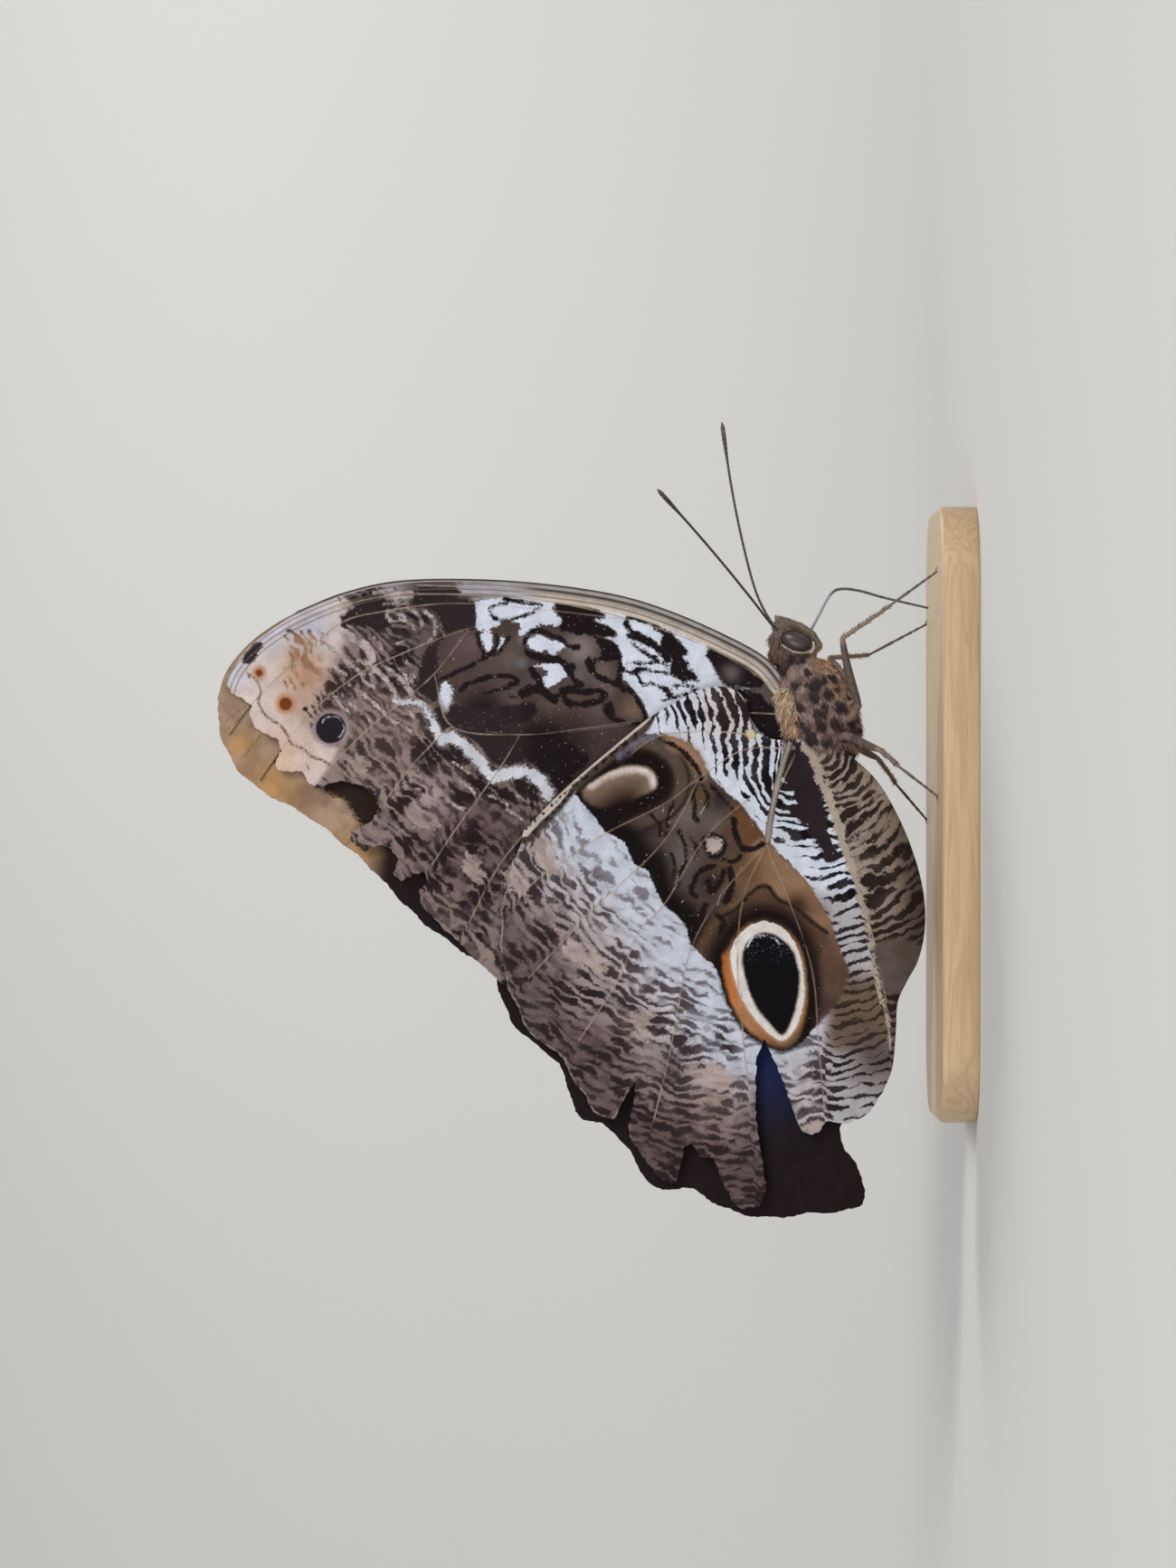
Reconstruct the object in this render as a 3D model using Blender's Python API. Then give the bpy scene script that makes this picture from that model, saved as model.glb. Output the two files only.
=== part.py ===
"""An owl butterfly at rest with its wings closed, life size, on a plain display base.

+X runs forward to the head, +Y to the butterfly's left and +Z up from the base's underside.
Lengths are in metres. Places on the body and wings are read in the side view, where a
photograph's pixels give them: u runs from the wing tips down to the perch, v from head to tail.
"""

from math import atan2, cos, exp, pi, radians, sin, sqrt

import bmesh
import bpy
import numpy as np
from mathutils import Vector
from mathutils.geometry import delaunay_2d_cdt

MM = 0.001

# Driving dimensions
FOREWING_LENGTH = 72 * MM
FOREWING_PIXELS = 620
PERCH_U = 1030
MIDDLE_V = 900
BASE_LENGTH = 78 * MM
BASE_WIDTH = 44 * MM
BASE_THICKNESS = 5 * MM
BASE_CORNER = 10 * MM
BASE_BEVEL = 0.6 * MM
JOINT_GAP = 0.3 * MM

WING_THICKNESS = 0.5 * MM
VEIN_RISE = 0.18 * MM
VEIN_HALF_WIDTH = 0.45 * MM
MEMBRANE_STEP = 3.4 * MM
EDGE_STEP = 1.7 * MM
VEIN_STEP = 2.8 * MM

# How far from the middle plane each wing stands, and how its root spreads to the thorax
FOREWING_OFFSET = 0.7 * MM
HINDWING_STEP_OUT = 1.2 * MM
ROOT_SPREAD = 1.3 * MM
ROOT_REACH = 14 * MM
TORNUS_CLOSING = 0.95 * MM
FOLD_CLEARANCE = 1.0 * MM

THORAX_HALF_WIDTH = 4.3 * MM
ABDOMEN_RADIUS = 3.5 * MM

PIXEL = FOREWING_LENGTH / FOREWING_PIXELS


def spot(u, v):
    """The side-view place (x, z) of a pixel."""
    return (MIDDLE_V - v) * PIXEL, BASE_THICKNESS + (PERCH_U - u) * PIXEL


def spots(pixels):
    return [spot(u, v) for u, v in pixels]


# Outlines in the side view, as (u, v)
WING_HINGE = (868, 790)
FOREWING_COSTA = [(890, 778), (868, 752), (845, 726), (800, 701), (740, 675), (680, 657), (600, 645),
                  (520, 640), (440, 642), (380, 655), (330, 675)]
FOREWING_APEX = [(330, 675), (300, 692), (272, 714), (250, 742), (240, 772)]
FOREWING_TERMEN = [(240, 772), (239, 798), (252, 838), (278, 868), (310, 888), (345, 908), (398, 951),
                   (432, 986), (468, 1022), (528, 1066), (562, 1092)]
FOREWING_DORSUM = [(562, 1092), (640, 1046), (720, 985), (800, 905), (850, 845), (890, 806)]
HINDWING_COSTA = [(898, 815), (866, 818), (845, 815), (830, 802), (825, 780), (815, 765), (795, 759),
                  (770, 764), (747, 776), (717, 794), (680, 824), (640, 858), (608, 888), (579, 918)]
HINDWING_TERMEN = [(579, 918), (563, 960), (553, 1000), (546, 1045), (550, 1096), (571, 1140), (600, 1162),
                   (622, 1188), (636, 1232), (668, 1247), (690, 1268), (722, 1314), (762, 1316), (800, 1337),
                   (845, 1348), (900, 1343), (948, 1337), (958, 1312), (946, 1284), (934, 1264), (931, 1244),
                   (950, 1229), (975, 1208)]
HINDWING_INNER = [(975, 1208), (986, 1180), (990, 1140), (992, 1108), (1002, 1085), (1015, 1060), (1022, 1025),
                  (1020, 985), (1008, 940), (990, 898), (968, 862), (940, 836), (918, 822), (898, 815)]

# The right wings are worn: a tattered forewing margin, and a split hindwing that shows the left one
WORN_FOREWING_APEX = [(330, 675), (302, 695), (277, 714), (260, 736), (250, 757)]
WORN_FOREWING_TERMEN = [
    (250, 757), (256, 766), (268, 771), (279, 780), (276, 791), (282, 804), (293, 811), (308, 818),
    (312, 830), (303, 842), (307, 851), (321, 853), (334, 852), (342, 866), (352, 872), (363, 866),
    (380, 863), (401, 869), (413, 880), (419, 893), (413, 905), (400, 913), (388, 919), (388, 930),
    (403, 941), (419, 934), (433, 938), (441, 950), (435, 966), (444, 974), (456, 966), (470, 964),
    (471, 974), (463, 986), (467, 1001), (482, 1017), (503, 1038), (530, 1064), (545, 1078), (562, 1092)]
WORN_HINDWING_TERMEN = [(579, 918), (563, 960), (554, 1000), (552, 1045), (560, 1088), (573, 1120), (591, 1150),
                        (616, 1164), (628, 1188), (643, 1208), (653, 1228), (678, 1239)]
HINDWING_TEARS = [
    (678, 1239), (690, 1214), (703, 1194), (700, 1222), (694, 1252), (706, 1272), (726, 1299), (746, 1310),
    (753, 1285), (756, 1267), (765, 1263), (773, 1278), (788, 1280), (798, 1304), (815, 1336), (839, 1333),
    (847, 1314), (841, 1272), (835, 1235), (835, 1198), (836, 1168), (845, 1148), (857, 1174), (868, 1202),
    (879, 1236), (890, 1255), (905, 1251), (913, 1239), (938, 1241), (960, 1230), (975, 1208)]
SCALLOP_LENGTH = 5.2 * MM
SCALLOP_DEPTH = 0.22 * MM

FOREWING_VEINS = [
    [(878, 774), (800, 712), (700, 674), (600, 654), (520, 649), (462, 647)],
    [(878, 778), (800, 724), (700, 686), (600, 664), (500, 657), (420, 660), (350, 680), (298, 706)],
    [(700, 686), (600, 674), (500, 667), (418, 677), (377, 689), (336, 723), (285, 771), (254, 812)],
    [(600, 674), (520, 694), (448, 721), (391, 749), (340, 792), (308, 834), (288, 862)],
    [(520, 694), (480, 745), (441, 778), (409, 804), (379, 833), (354, 860)],
    [(878, 790), (800, 788), (720, 795), (640, 806), (575, 812), (500, 803), (480, 745)],
    [(500, 803), (487, 813), (455, 847), (430, 880)],
    [(575, 812), (553, 848), (505, 915), (478, 955)],
    [(720, 795), (640, 860), (560, 945), (518, 1020)],
]
HINDWING_VEINS = [
    [(878, 826), (825, 812), (765, 809), (715, 820), (660, 872), (612, 912)],
    [(878, 828), (822, 829), (772, 860), (735, 888), (668, 922), (600, 967), (574, 992)],
    [(772, 860), (750, 905), (720, 945), (660, 1000), (625, 1037), (585, 1080)],
    [(830, 880), (780, 925), (735, 998), (705, 1030), (685, 1080), (640, 1150)],
    [(848, 932), (800, 985), (765, 1045), (750, 1110), (740, 1165), (722, 1240)],
    [(848, 932), (822, 990), (815, 1060), (820, 1130), (826, 1200)],
    [(878, 834), (858, 880), (848, 932), (868, 985), (897, 1070), (905, 1160), (911, 1222)],
    [(893, 838), (925, 910), (945, 970), (965, 1040), (978, 1100), (984, 1160)],
]

# The body, front to back, as (u, v, half width, half height)
HEAD_RINGS = [(873, 689, 1.1, 1.2), (874, 693, 2.0, 2.2), (876, 699, 2.6, 2.8), (878, 707, 2.8, 3.1),
              (881, 715, 2.6, 3.1), (884, 723, 2.0, 2.7), (886, 728, 1.5, 2.2), (887, 733, 1.0, 1.5)]
THORAX_RINGS = [(888, 727, 1.2, 1.6), (888, 731, 2.3, 2.9), (889, 740, 3.2, 4.2), (893, 757, 4.0, 5.0),
                (899, 778, 4.3, 5.3), (906, 800, 4.2, 5.4), (912, 820, 3.7, 5.1), (917, 836, 2.9, 4.3),
                (920, 846, 1.9, 3.0), (921, 850, 1.1, 1.7)]
ABDOMEN_AXIS = [(921, 846), (931, 872), (944, 905), (959, 950), (973, 995), (983, 1035), (988, 1062)]
ABDOMEN_WAIST = 0.62
ABDOMEN_TIP = 0.3
ABDOMEN_SEGMENTS = 7
SEGMENT_STEP = 0.035
BODY_SIDES = 20

EYE_PLACE = (880, 706)
EYE_OUT = 1.85 * MM
EYE_RADII = (1.4 * MM, 1.25 * MM, 2.0 * MM)

# Limbs as (u, v, millimetres to the left), each from its root out
ANTENNA_RIGHT = [(864, 700, -0.9), (852, 689, -1.5), (830, 660, -3.2), (800, 622, -5.6), (762, 578, -8.4),
                 (727, 541, -11.0)]
ANTENNA_LEFT = [(866, 700, 0.9), (853, 688, 1.4), (836, 655, 3.0), (821, 600, 5.4), (808, 535, 8.6),
                (797, 467, 12.0)]
ANTENNA_RADIUS = 0.26 * MM
CLUB_RADIUS = 0.36 * MM
CLUB_SHARE = 0.22
PALP_PATH = [(902, 724, 0.9), (907, 712, 1.0), (899, 700, 1.1), (884, 690, 1.15), (868, 684, 1.1),
             (857, 681, 1.0)]
PALP_RADII = [0.55, 0.85, 0.8, 0.65, 0.42, 0.25]
PROBOSCIS_PATH = [(892, 712, 0.0), (897, 698, 0.0), (906, 678, 0.0), (918, 657, 0.0), (930, 651, 0.0),
                  (950, 653, 0.0), (975, 660, 0.0), (1000, 666, 0.0), (1026, 672, 0.0)]
PROBOSCIS_RADIUS = 0.26 * MM

MID_LEG_RIGHT = [(926, 800, -2.2), (942, 792, -3.4), (949, 778, -4.4), (931, 705, -8.6), (984, 669, -10.6),
                 (1027, 632, -11.9)]
MID_LEG_LEFT = [(924, 792, 2.2), (936, 784, 3.4), (940, 773, 4.4), (917, 727, 8.4), (960, 724, 12.6),
                (1027, 690, 14.6)]
HIND_LEG_RIGHT = [(924, 816, -2.4), (934, 813, -3.6), (942, 815, -4.6), (973, 829, -9.4), (992, 846, -12.0),
                  (1027, 880, -14.2)]
HIND_LEG_LEFT = [(924, 820, 2.4), (934, 818, 3.6), (942, 820, 4.6), (970, 838, 9.6), (990, 866, 12.2),
                 (1027, 906, 14.0)]
FORELEG_RIGHT = [(916, 768, -1.6), (927, 760, -1.9), (933, 750, -1.9), (925, 737, -1.7), (916, 729, -1.5)]
FEMUR_RADIUS = 0.46 * MM
TIBIA_RADIUS = 0.31 * MM
TARSUS_RADIUS = 0.27 * MM
CLAW_RADIUS = 0.25 * MM
FORELEG_RADIUS = 0.42 * MM
TARSAL_JOINTS = 5
LIMB_SIDES = 7


def clear_scene():
    for obj in list(bpy.data.objects):
        bpy.data.objects.remove(obj)


def material(name, colour, roughness, metallic=0.0):
    made = bpy.data.materials.new(name)
    made.use_nodes = True
    shader = made.node_tree.nodes["Principled BSDF"]
    shader.inputs["Base Color"].default_value = (*colour, 1.0)
    shader.inputs["Roughness"].default_value = roughness
    shader.inputs["Metallic"].default_value = metallic
    return made


def new_object(name, points, faces, finish=None, smooth_angle=50):
    mesh = bpy.data.meshes.new(name)
    mesh.from_pydata([tuple(p) for p in points], [], [tuple(f) for f in faces])
    work = bmesh.new()
    work.from_mesh(mesh)
    bmesh.ops.recalc_face_normals(work, faces=work.faces)
    if work.calc_volume(signed=True) < 0:
        bmesh.ops.reverse_faces(work, faces=work.faces)
    work.to_mesh(mesh)
    work.free()
    mesh.shade_smooth()
    mesh.set_sharp_from_angle(angle=radians(smooth_angle))
    obj = bpy.data.objects.new(name, mesh)
    bpy.context.scene.collection.objects.link(obj)
    if finish:
        mesh.materials.append(finish)
    return obj


def catmull(points, step):
    """A smooth curve through the points, with a point about every step."""
    known = [Vector(p) for p in points]
    known = [known[0] * 2 - known[1], *known, known[-1] * 2 - known[-2]]
    out = []
    for a, b, c, d in zip(known, known[1:], known[2:], known[3:]):
        count = max(1, round((c - b).length / step))
        for i in range(count):
            t = i / count
            out.append(0.5 * (2 * b + (c - a) * t + (2 * a - 5 * b + 4 * c - d) * t * t
                              + (3 * b - a - 3 * c + d) * t ** 3))
    return out + [known[-2]]


def polyline(points, step):
    """Straight runs between the points, with a point about every step."""
    out = []
    for a, b in zip(points, points[1:]):
        a, b = Vector(a), Vector(b)
        count = max(1, round((b - a).length / step))
        out += [a.lerp(b, i / count) for i in range(count)]
    return out + [Vector(points[-1])]


def tube(name, path, radii, sides, finish):
    """A closed tube along a 3-D path, with a radius for each point, rings square to the path."""
    path = [Vector(p) for p in path]
    points, faces = [], []
    side = None
    for i, p in enumerate(path):
        before, after = path[max(i - 1, 0)], path[min(i + 1, len(path) - 1)]
        along = (after - before).normalized()
        if side is None:
            side = along.orthogonal().normalized()
        side = (side - along * side.dot(along)).normalized()
        up = along.cross(side)
        for k in range(sides):
            turn = 2 * pi * k / sides
            points.append(p + (side * cos(turn) + up * sin(turn)) * radii[i])
    for i in range(len(path) - 1):
        for k in range(sides):
            a, b = i * sides + k, i * sides + (k + 1) % sides
            faces.append((a, b, b + sides, a + sides))
    faces.append(tuple(range(sides)))
    faces.append(tuple(range(len(points) - sides, len(points))))
    return new_object(name, points, faces, finish)


def loft(name, rings, finish, sides=BODY_SIDES):
    """A body of elliptical rings, each (x, z, half width, half height), square to the line of centres."""
    points, faces = [], []
    for i, (x, z, wide, tall) in enumerate(rings):
        before, after = rings[max(i - 1, 0)], rings[min(i + 1, len(rings) - 1)]
        tilt = atan2(after[1] - before[1], after[0] - before[0]) + pi / 2
        for k in range(sides):
            turn = 2 * pi * k / sides
            up = tall * sin(turn)
            points.append((x + up * cos(tilt), wide * cos(turn), z + up * sin(tilt)))
    for i in range(len(rings) - 1):
        for k in range(sides):
            a, b = i * sides + k, i * sides + (k + 1) % sides
            faces.append((a, b, b + sides, a + sides))
    faces.append(tuple(range(sides)))
    faces.append(tuple(range(len(points) - sides, len(points))))
    return new_object(name, points, faces, finish)


def swollen(obj, gap):
    """A hidden copy of obj, every point pushed out by gap."""
    mesh = obj.data.copy()
    normals = [v.normal.copy() for v in mesh.vertices]
    for v, n in zip(mesh.vertices, normals):
        v.co += n * gap
    cutter = bpy.data.objects.new(obj.name + "_cutter", mesh)
    bpy.context.scene.collection.objects.link(cutter)
    return cutter


def keep_largest(obj):
    """Drops every closed surface of a mesh but the largest."""
    work = bmesh.new()
    work.from_mesh(obj.data)
    bmesh.ops.triangulate(work, faces=work.faces)
    left, shells = set(work.verts), []
    while left:
        front, shell = [left.pop()], set()
        while front:
            vert = front.pop()
            shell.add(vert)
            for edge in vert.link_edges:
                other = edge.other_vert(vert)
                if other in left:
                    left.discard(other)
                    front.append(other)
        shells.append(shell)
    for shell in sorted(shells, key=len)[:-1]:
        bmesh.ops.delete(work, geom=list(shell), context="VERTS")
    bmesh.ops.delete(work, geom=[e for e in work.edges if not e.link_faces], context="EDGES")
    work.to_mesh(obj.data)
    work.free()


def part_from(obj, *roots, gap=JOINT_GAP):
    """Cuts obj back from the pieces that it grows from, so that they meet with a thin gap."""
    for root in roots:
        cutter = swollen(root, gap)
        cut = obj.modifiers.new("part", "BOOLEAN")
        cut.operation = "DIFFERENCE"
        cut.object = cutter
        graph = bpy.context.evaluated_depsgraph_get()
        mesh = bpy.data.meshes.new_from_object(obj.evaluated_get(graph))
        obj.modifiers.clear()
        obj.data = mesh
        bpy.data.objects.remove(cutter)
        keep_largest(obj)
    obj.data.shade_smooth()
    obj.data.set_sharp_from_angle(angle=radians(50))
    return obj


def limb_point(place, side=1.0):
    x, z = spot(place[0], place[1])
    return Vector((x, place[2] * MM * side, z))


def smoothstep(low, high, value):
    t = min(max((value - low) / (high - low), 0.0), 1.0)
    return t * t * (3 - 2 * t)


def abdomen_ring(share):
    """The abdomen's radius at a share of its length, 0 at the waist and 1 at the tip."""
    swell = smoothstep(0.0, 0.3, share) * (1 - ABDOMEN_WAIST) + ABDOMEN_WAIST
    taper = 1 - (1 - ABDOMEN_TIP) * max(0.0, (share - 0.5) / 0.5) ** 2.2
    return ABDOMEN_RADIUS * swell * taper


ABDOMEN_LINE = catmull(spots(ABDOMEN_AXIS), 1.2 * MM)


def along_abdomen(place):
    """The share of the abdomen's line nearest to a place, and how far off the place lies."""
    best = (0.0, 1.0)
    count = len(ABDOMEN_LINE) - 1
    for i in range(count):
        a, b = ABDOMEN_LINE[i], ABDOMEN_LINE[i + 1]
        t = min(max((place - a).dot(b - a) / (b - a).length_squared, 0.0), 1.0)
        away = (place - a.lerp(b, t)).length
        if away < best[1]:
            best = ((i + t) / count, away)
    return best


def forewing_height(x, z):
    """How far the forewing's middle surface stands from the plane between the wings."""
    hinge = Vector(spot(*WING_HINGE))
    reach = (Vector((x, z)) - hinge).length
    return FOREWING_OFFSET + ROOT_SPREAD * exp(-(reach / ROOT_REACH) ** 2)


def hindwing_height(x, z):
    """The hindwing lies outside the forewing, closes in past its inner edge, and folds round the abdomen."""
    place = Vector((x, z))
    root, tornus = Vector(spot(880, 812)), Vector(spot(560, 1079))
    along = (tornus - root).normalized()
    past = (place - root).dot(Vector((-along.y, along.x)))
    closing = TORNUS_CLOSING * smoothstep(1.5 * MM, 14 * MM, past)
    flat = forewing_height(x, z) + HINDWING_STEP_OUT - closing
    share, away = along_abdomen(place)
    ring = abdomen_ring(share) + FOLD_CLEARANCE
    fold = ring * exp(-away * away / (2 * ring * ring))
    fold *= smoothstep(spot(0, 805)[0] * -1, spot(0, 850)[0] * -1, -x)
    return (flat ** 4 + fold ** 4) ** 0.25


def inside(points, loop):
    """True for each point that the loop goes round."""
    x, y = points[:, 0], points[:, 1]
    found = np.zeros(len(points), bool)
    for (x0, y0), (x1, y1) in zip(loop, np.roll(loop, -1, axis=0)):
        crosses = (y0 > y) != (y1 > y)
        span = (y1 - y0) if y1 != y0 else 1e-12
        found ^= crosses & (x < (x1 - x0) * (y - y0) / span + x0)
    return found


def away_from(points, lines):
    """Each point's distance to the nearest of some polylines."""
    best = np.full(len(points), 1e9)
    for line in lines:
        for a, b in zip(line[:-1], line[1:]):
            run = b - a
            t = np.clip(((points - a) @ run) / max(run @ run, 1e-18), 0, 1)
            best = np.minimum(best, np.linalg.norm(points - (a + t[:, None] * run), axis=1))
    return best


def wing_plan(loop, veins):
    """Triangles that fill an outline and follow its veins: (points, faces)."""
    lines = [np.array([tuple(p) for p in catmull(spots(vein), VEIN_STEP)]) for vein in veins]
    points = [tuple(p) for p in loop]
    edges = [(i, (i + 1) % len(loop)) for i in range(len(loop))]
    rim = [np.vstack([loop, loop[:1]])]
    for line in lines:
        heading = np.gradient(line, axis=0)
        heading /= np.linalg.norm(heading, axis=1)[:, None]
        across = np.column_stack([-heading[:, 1], heading[:, 0]])
        for shift in (-VEIN_HALF_WIDTH, 0.0, VEIN_HALF_WIDTH):
            run = line + across * shift
            keep = inside(run, loop) & (away_from(run, rim) > 0.6 * MM)
            for k, p in enumerate(run):
                if not keep[k]:
                    continue
                points.append(tuple(p))
                if k and keep[k - 1]:
                    edges.append((len(points) - 2, len(points) - 1))
    low, high = loop.min(axis=0), loop.max(axis=0)
    row = MEMBRANE_STEP * sqrt(3) / 2
    grid = np.array([(low[0] + (i + 0.5 * (j % 2)) * MEMBRANE_STEP, low[1] + j * row)
                     for j in range(int((high[1] - low[1]) / row) + 1)
                     for i in range(int((high[0] - low[0]) / MEMBRANE_STEP) + 1)])
    free = inside(grid, loop) & (away_from(grid, rim) > 1.1 * MM) & (away_from(grid, lines) > 1.3 * MM)
    points += [tuple(p) for p in grid[free]]
    found = delaunay_2d_cdt([Vector(p) for p in points], edges, [], 0, 1e-6)
    flat = np.array([tuple(p) for p in found[0]])
    faces = np.array(found[2])
    faces = faces[inside(flat[faces].mean(axis=1), loop)]
    used, index = np.unique(faces, return_inverse=True)
    return flat[used], index.reshape(faces.shape), lines


def wing(name, loop, veins, height, side, finish):
    """A thin curved wing: both faces share one plan, and each vein stands up on both as a ridge."""
    flat, faces, lines = wing_plan(loop, veins)
    rise = VEIN_RISE * np.clip(1 - away_from(flat, lines) / VEIN_HALF_WIDTH, 0, 1)
    probe = 0.1 * MM
    outer, inner = [], []
    for (x, z), lift in zip(flat, rise):
        y = height(x, z)
        slope = Vector(((height(x + probe, z) - y) / probe, -1.0, (height(x, z + probe) - y) / probe))
        normal = Vector((-slope.x, 1.0, -slope.z)).normalized()
        middle = Vector((x, y, z))
        outer.append(middle + normal * (WING_THICKNESS / 2 + lift))
        inner.append(middle - normal * (WING_THICKNESS / 2 + lift))
    points = [Vector((p.x, p.y * side, p.z)) for p in outer + inner]
    count = len(flat)
    solid = [tuple(f) for f in faces] + [tuple(f[::-1] + count) for f in faces]
    ends = {}
    for f in faces:
        for a, b in ((f[0], f[1]), (f[1], f[2]), (f[2], f[0])):
            ends[(a, b)] = True
    solid += [(b, a, a + count, b + count) for a, b in ends if (b, a) not in ends]
    obj = new_object(name, points, solid, finish, smooth_angle=40)
    return obj


def closed_loop(*runs):
    """Runs of an outline, each already a list of points, joined without doubled corners."""
    out = []
    for run in runs:
        for p in run:
            if not out or (Vector(p) - out[-1]).length > 0.05 * MM:
                out.append(Vector(p))
    if (out[0] - out[-1]).length < 0.05 * MM:
        out.pop()
    return np.array([tuple(p) for p in out])


def scalloped(run, depth):
    """A margin drawn in a little between vein ends."""
    out, reach = [run[0]], 0.0
    for before, p, after in zip(run, run[1:], run[2:]):
        reach += (p - before).length
        along = (after - before).normalized()
        out.append(p + Vector((-along.y, along.x)) * depth * sin(pi * reach / SCALLOP_LENGTH) ** 2)
    return out + [run[-1]]


def forewing_loop(worn):
    costa = catmull(spots(FOREWING_COSTA), EDGE_STEP * 1.4)
    dorsum = catmull(spots(FOREWING_DORSUM), EDGE_STEP * 2)
    if worn:
        return closed_loop(costa, catmull(spots(WORN_FOREWING_APEX), EDGE_STEP),
                           polyline(spots(WORN_FOREWING_TERMEN), EDGE_STEP * 2), dorsum)
    margin = scalloped(catmull(spots(FOREWING_TERMEN), EDGE_STEP), -SCALLOP_DEPTH)
    return closed_loop(costa, catmull(spots(FOREWING_APEX), EDGE_STEP), margin, dorsum)


def hindwing_loop(worn):
    costa = catmull(spots(HINDWING_COSTA), EDGE_STEP)
    inner = catmull(spots(HINDWING_INNER), EDGE_STEP)
    if worn:
        margin = scalloped(catmull(spots(WORN_HINDWING_TERMEN), EDGE_STEP), -SCALLOP_DEPTH)
        return closed_loop(costa, margin, polyline(spots(HINDWING_TEARS), EDGE_STEP * 2), inner)
    margin = scalloped(catmull(spots(HINDWING_TERMEN), EDGE_STEP), -SCALLOP_DEPTH)
    return closed_loop(costa, margin, inner)


def make_wings(finish, thorax):
    for side, label in ((-1, "right"), (1, "left")):
        worn = side < 0
        for name, loop, veins, height in (
            ("forewing_" + label, forewing_loop(worn), FOREWING_VEINS, forewing_height),
            ("hindwing_" + label, hindwing_loop(worn), HINDWING_VEINS, hindwing_height),
        ):
            part_from(wing(name, loop, veins, height, side, finish), thorax)


def body_rings(rings):
    return [(*spot(u, v), wide * MM, tall * MM) for u, v, wide, tall in rings]


def make_abdomen(finish, thorax):
    """Seven rings, each a little wider at its rear edge than where the next one starts."""
    rings = []
    count = len(ABDOMEN_LINE)
    for i, p in enumerate(ABDOMEN_LINE):
        share = i / (count - 1)
        within = (share * ABDOMEN_SEGMENTS) % 1.0
        radius = abdomen_ring(share) * (1 - SEGMENT_STEP + SEGMENT_STEP * 2 * within * (share < 0.97))
        rings.append((p.x, p.y, radius * 0.94, radius))
    obj = loft("abdomen", rings, finish)
    return part_from(obj, thorax)


def make_eye(label, side, finish):
    x, z = spot(*EYE_PLACE)
    work = bmesh.new()
    bmesh.ops.create_uvsphere(work, u_segments=16, v_segments=10, radius=1.0)
    points = [(x + v.co.x * EYE_RADII[0], side * EYE_OUT + v.co.y * EYE_RADII[1], z + v.co.z * EYE_RADII[2])
              for v in work.verts]
    faces = [[v.index for v in f.verts] for f in work.faces]
    work.free()
    return new_object("eye_" + label, points, faces, finish)


def make_antenna(label, path, finish, head):
    line = catmull([limb_point(p) for p in path], 1.6 * MM)
    radii = []
    for i in range(len(line)):
        share = i / (len(line) - 1)
        club = smoothstep(1 - CLUB_SHARE, 1 - CLUB_SHARE * 0.3, share)
        blunt = 1 - 0.45 * smoothstep(0.97, 1.0, share)
        radii.append((ANTENNA_RADIUS + (CLUB_RADIUS - ANTENNA_RADIUS) * club) * blunt)
    return part_from(tube("antenna_" + label, line, radii, LIMB_SIDES, finish), head)


def make_palp(label, side, finish, head):
    line = catmull([limb_point(p, side) for p in PALP_PATH], 0.9 * MM)
    places = np.linspace(0, len(PALP_RADII) - 1, len(line))
    radii = [float(np.interp(p, range(len(PALP_RADII)), PALP_RADII)) * MM for p in places]
    return part_from(tube("palp_" + label, line, radii, LIMB_SIDES + 1, finish), head)


def make_leg(name, path, finish, thorax):
    """Coxa, femur, tibia and a tarsus of five joints, as one tapering limb."""
    coxa, trochanter, hip, knee, ankle, toe = [limb_point(p) for p in path]
    line, radii = [], []

    def run(a, b, start, middle, stop, count):
        for i in range(count):
            t = i / count
            swell = sin(pi * min(t * 1.15, 1.0))
            line.append(a.lerp(b, t))
            radii.append(start + (stop - start) * t + (middle - (start + stop) / 2) * swell)

    run(coxa, trochanter, FEMUR_RADIUS * 1.3, FEMUR_RADIUS * 1.4, FEMUR_RADIUS, 3)
    run(trochanter, hip, FEMUR_RADIUS * 0.9, FEMUR_RADIUS, FEMUR_RADIUS * 0.9, 2)
    run(hip, knee, FEMUR_RADIUS * 0.9, FEMUR_RADIUS * 1.15, TIBIA_RADIUS * 1.1, 7)
    run(knee, ankle, TIBIA_RADIUS * 1.15, TIBIA_RADIUS * 1.1, TARSUS_RADIUS * 1.2, 7)
    for joint in range(TARSAL_JOINTS):
        a = ankle.lerp(toe, joint / TARSAL_JOINTS)
        b = ankle.lerp(toe, (joint + 1) / TARSAL_JOINTS)
        run(a, b, TARSUS_RADIUS * 0.85, TARSUS_RADIUS, TARSUS_RADIUS * 1.15, 2)
    line.append(toe)
    radii.append(CLAW_RADIUS)
    return part_from(tube(name, line, radii, LIMB_SIDES, finish), thorax)


def make_foreleg(label, side, finish, thorax):
    """The short brush foot, folded up under the neck."""
    line = catmull([limb_point(p, -side) for p in FORELEG_RIGHT], 0.9 * MM)
    count = len(line)
    radii = [FORELEG_RADIUS * (1 - 0.45 * i / (count - 1)) for i in range(count)]
    return part_from(tube("foreleg_" + label, line, radii, LIMB_SIDES, finish), thorax)


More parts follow.
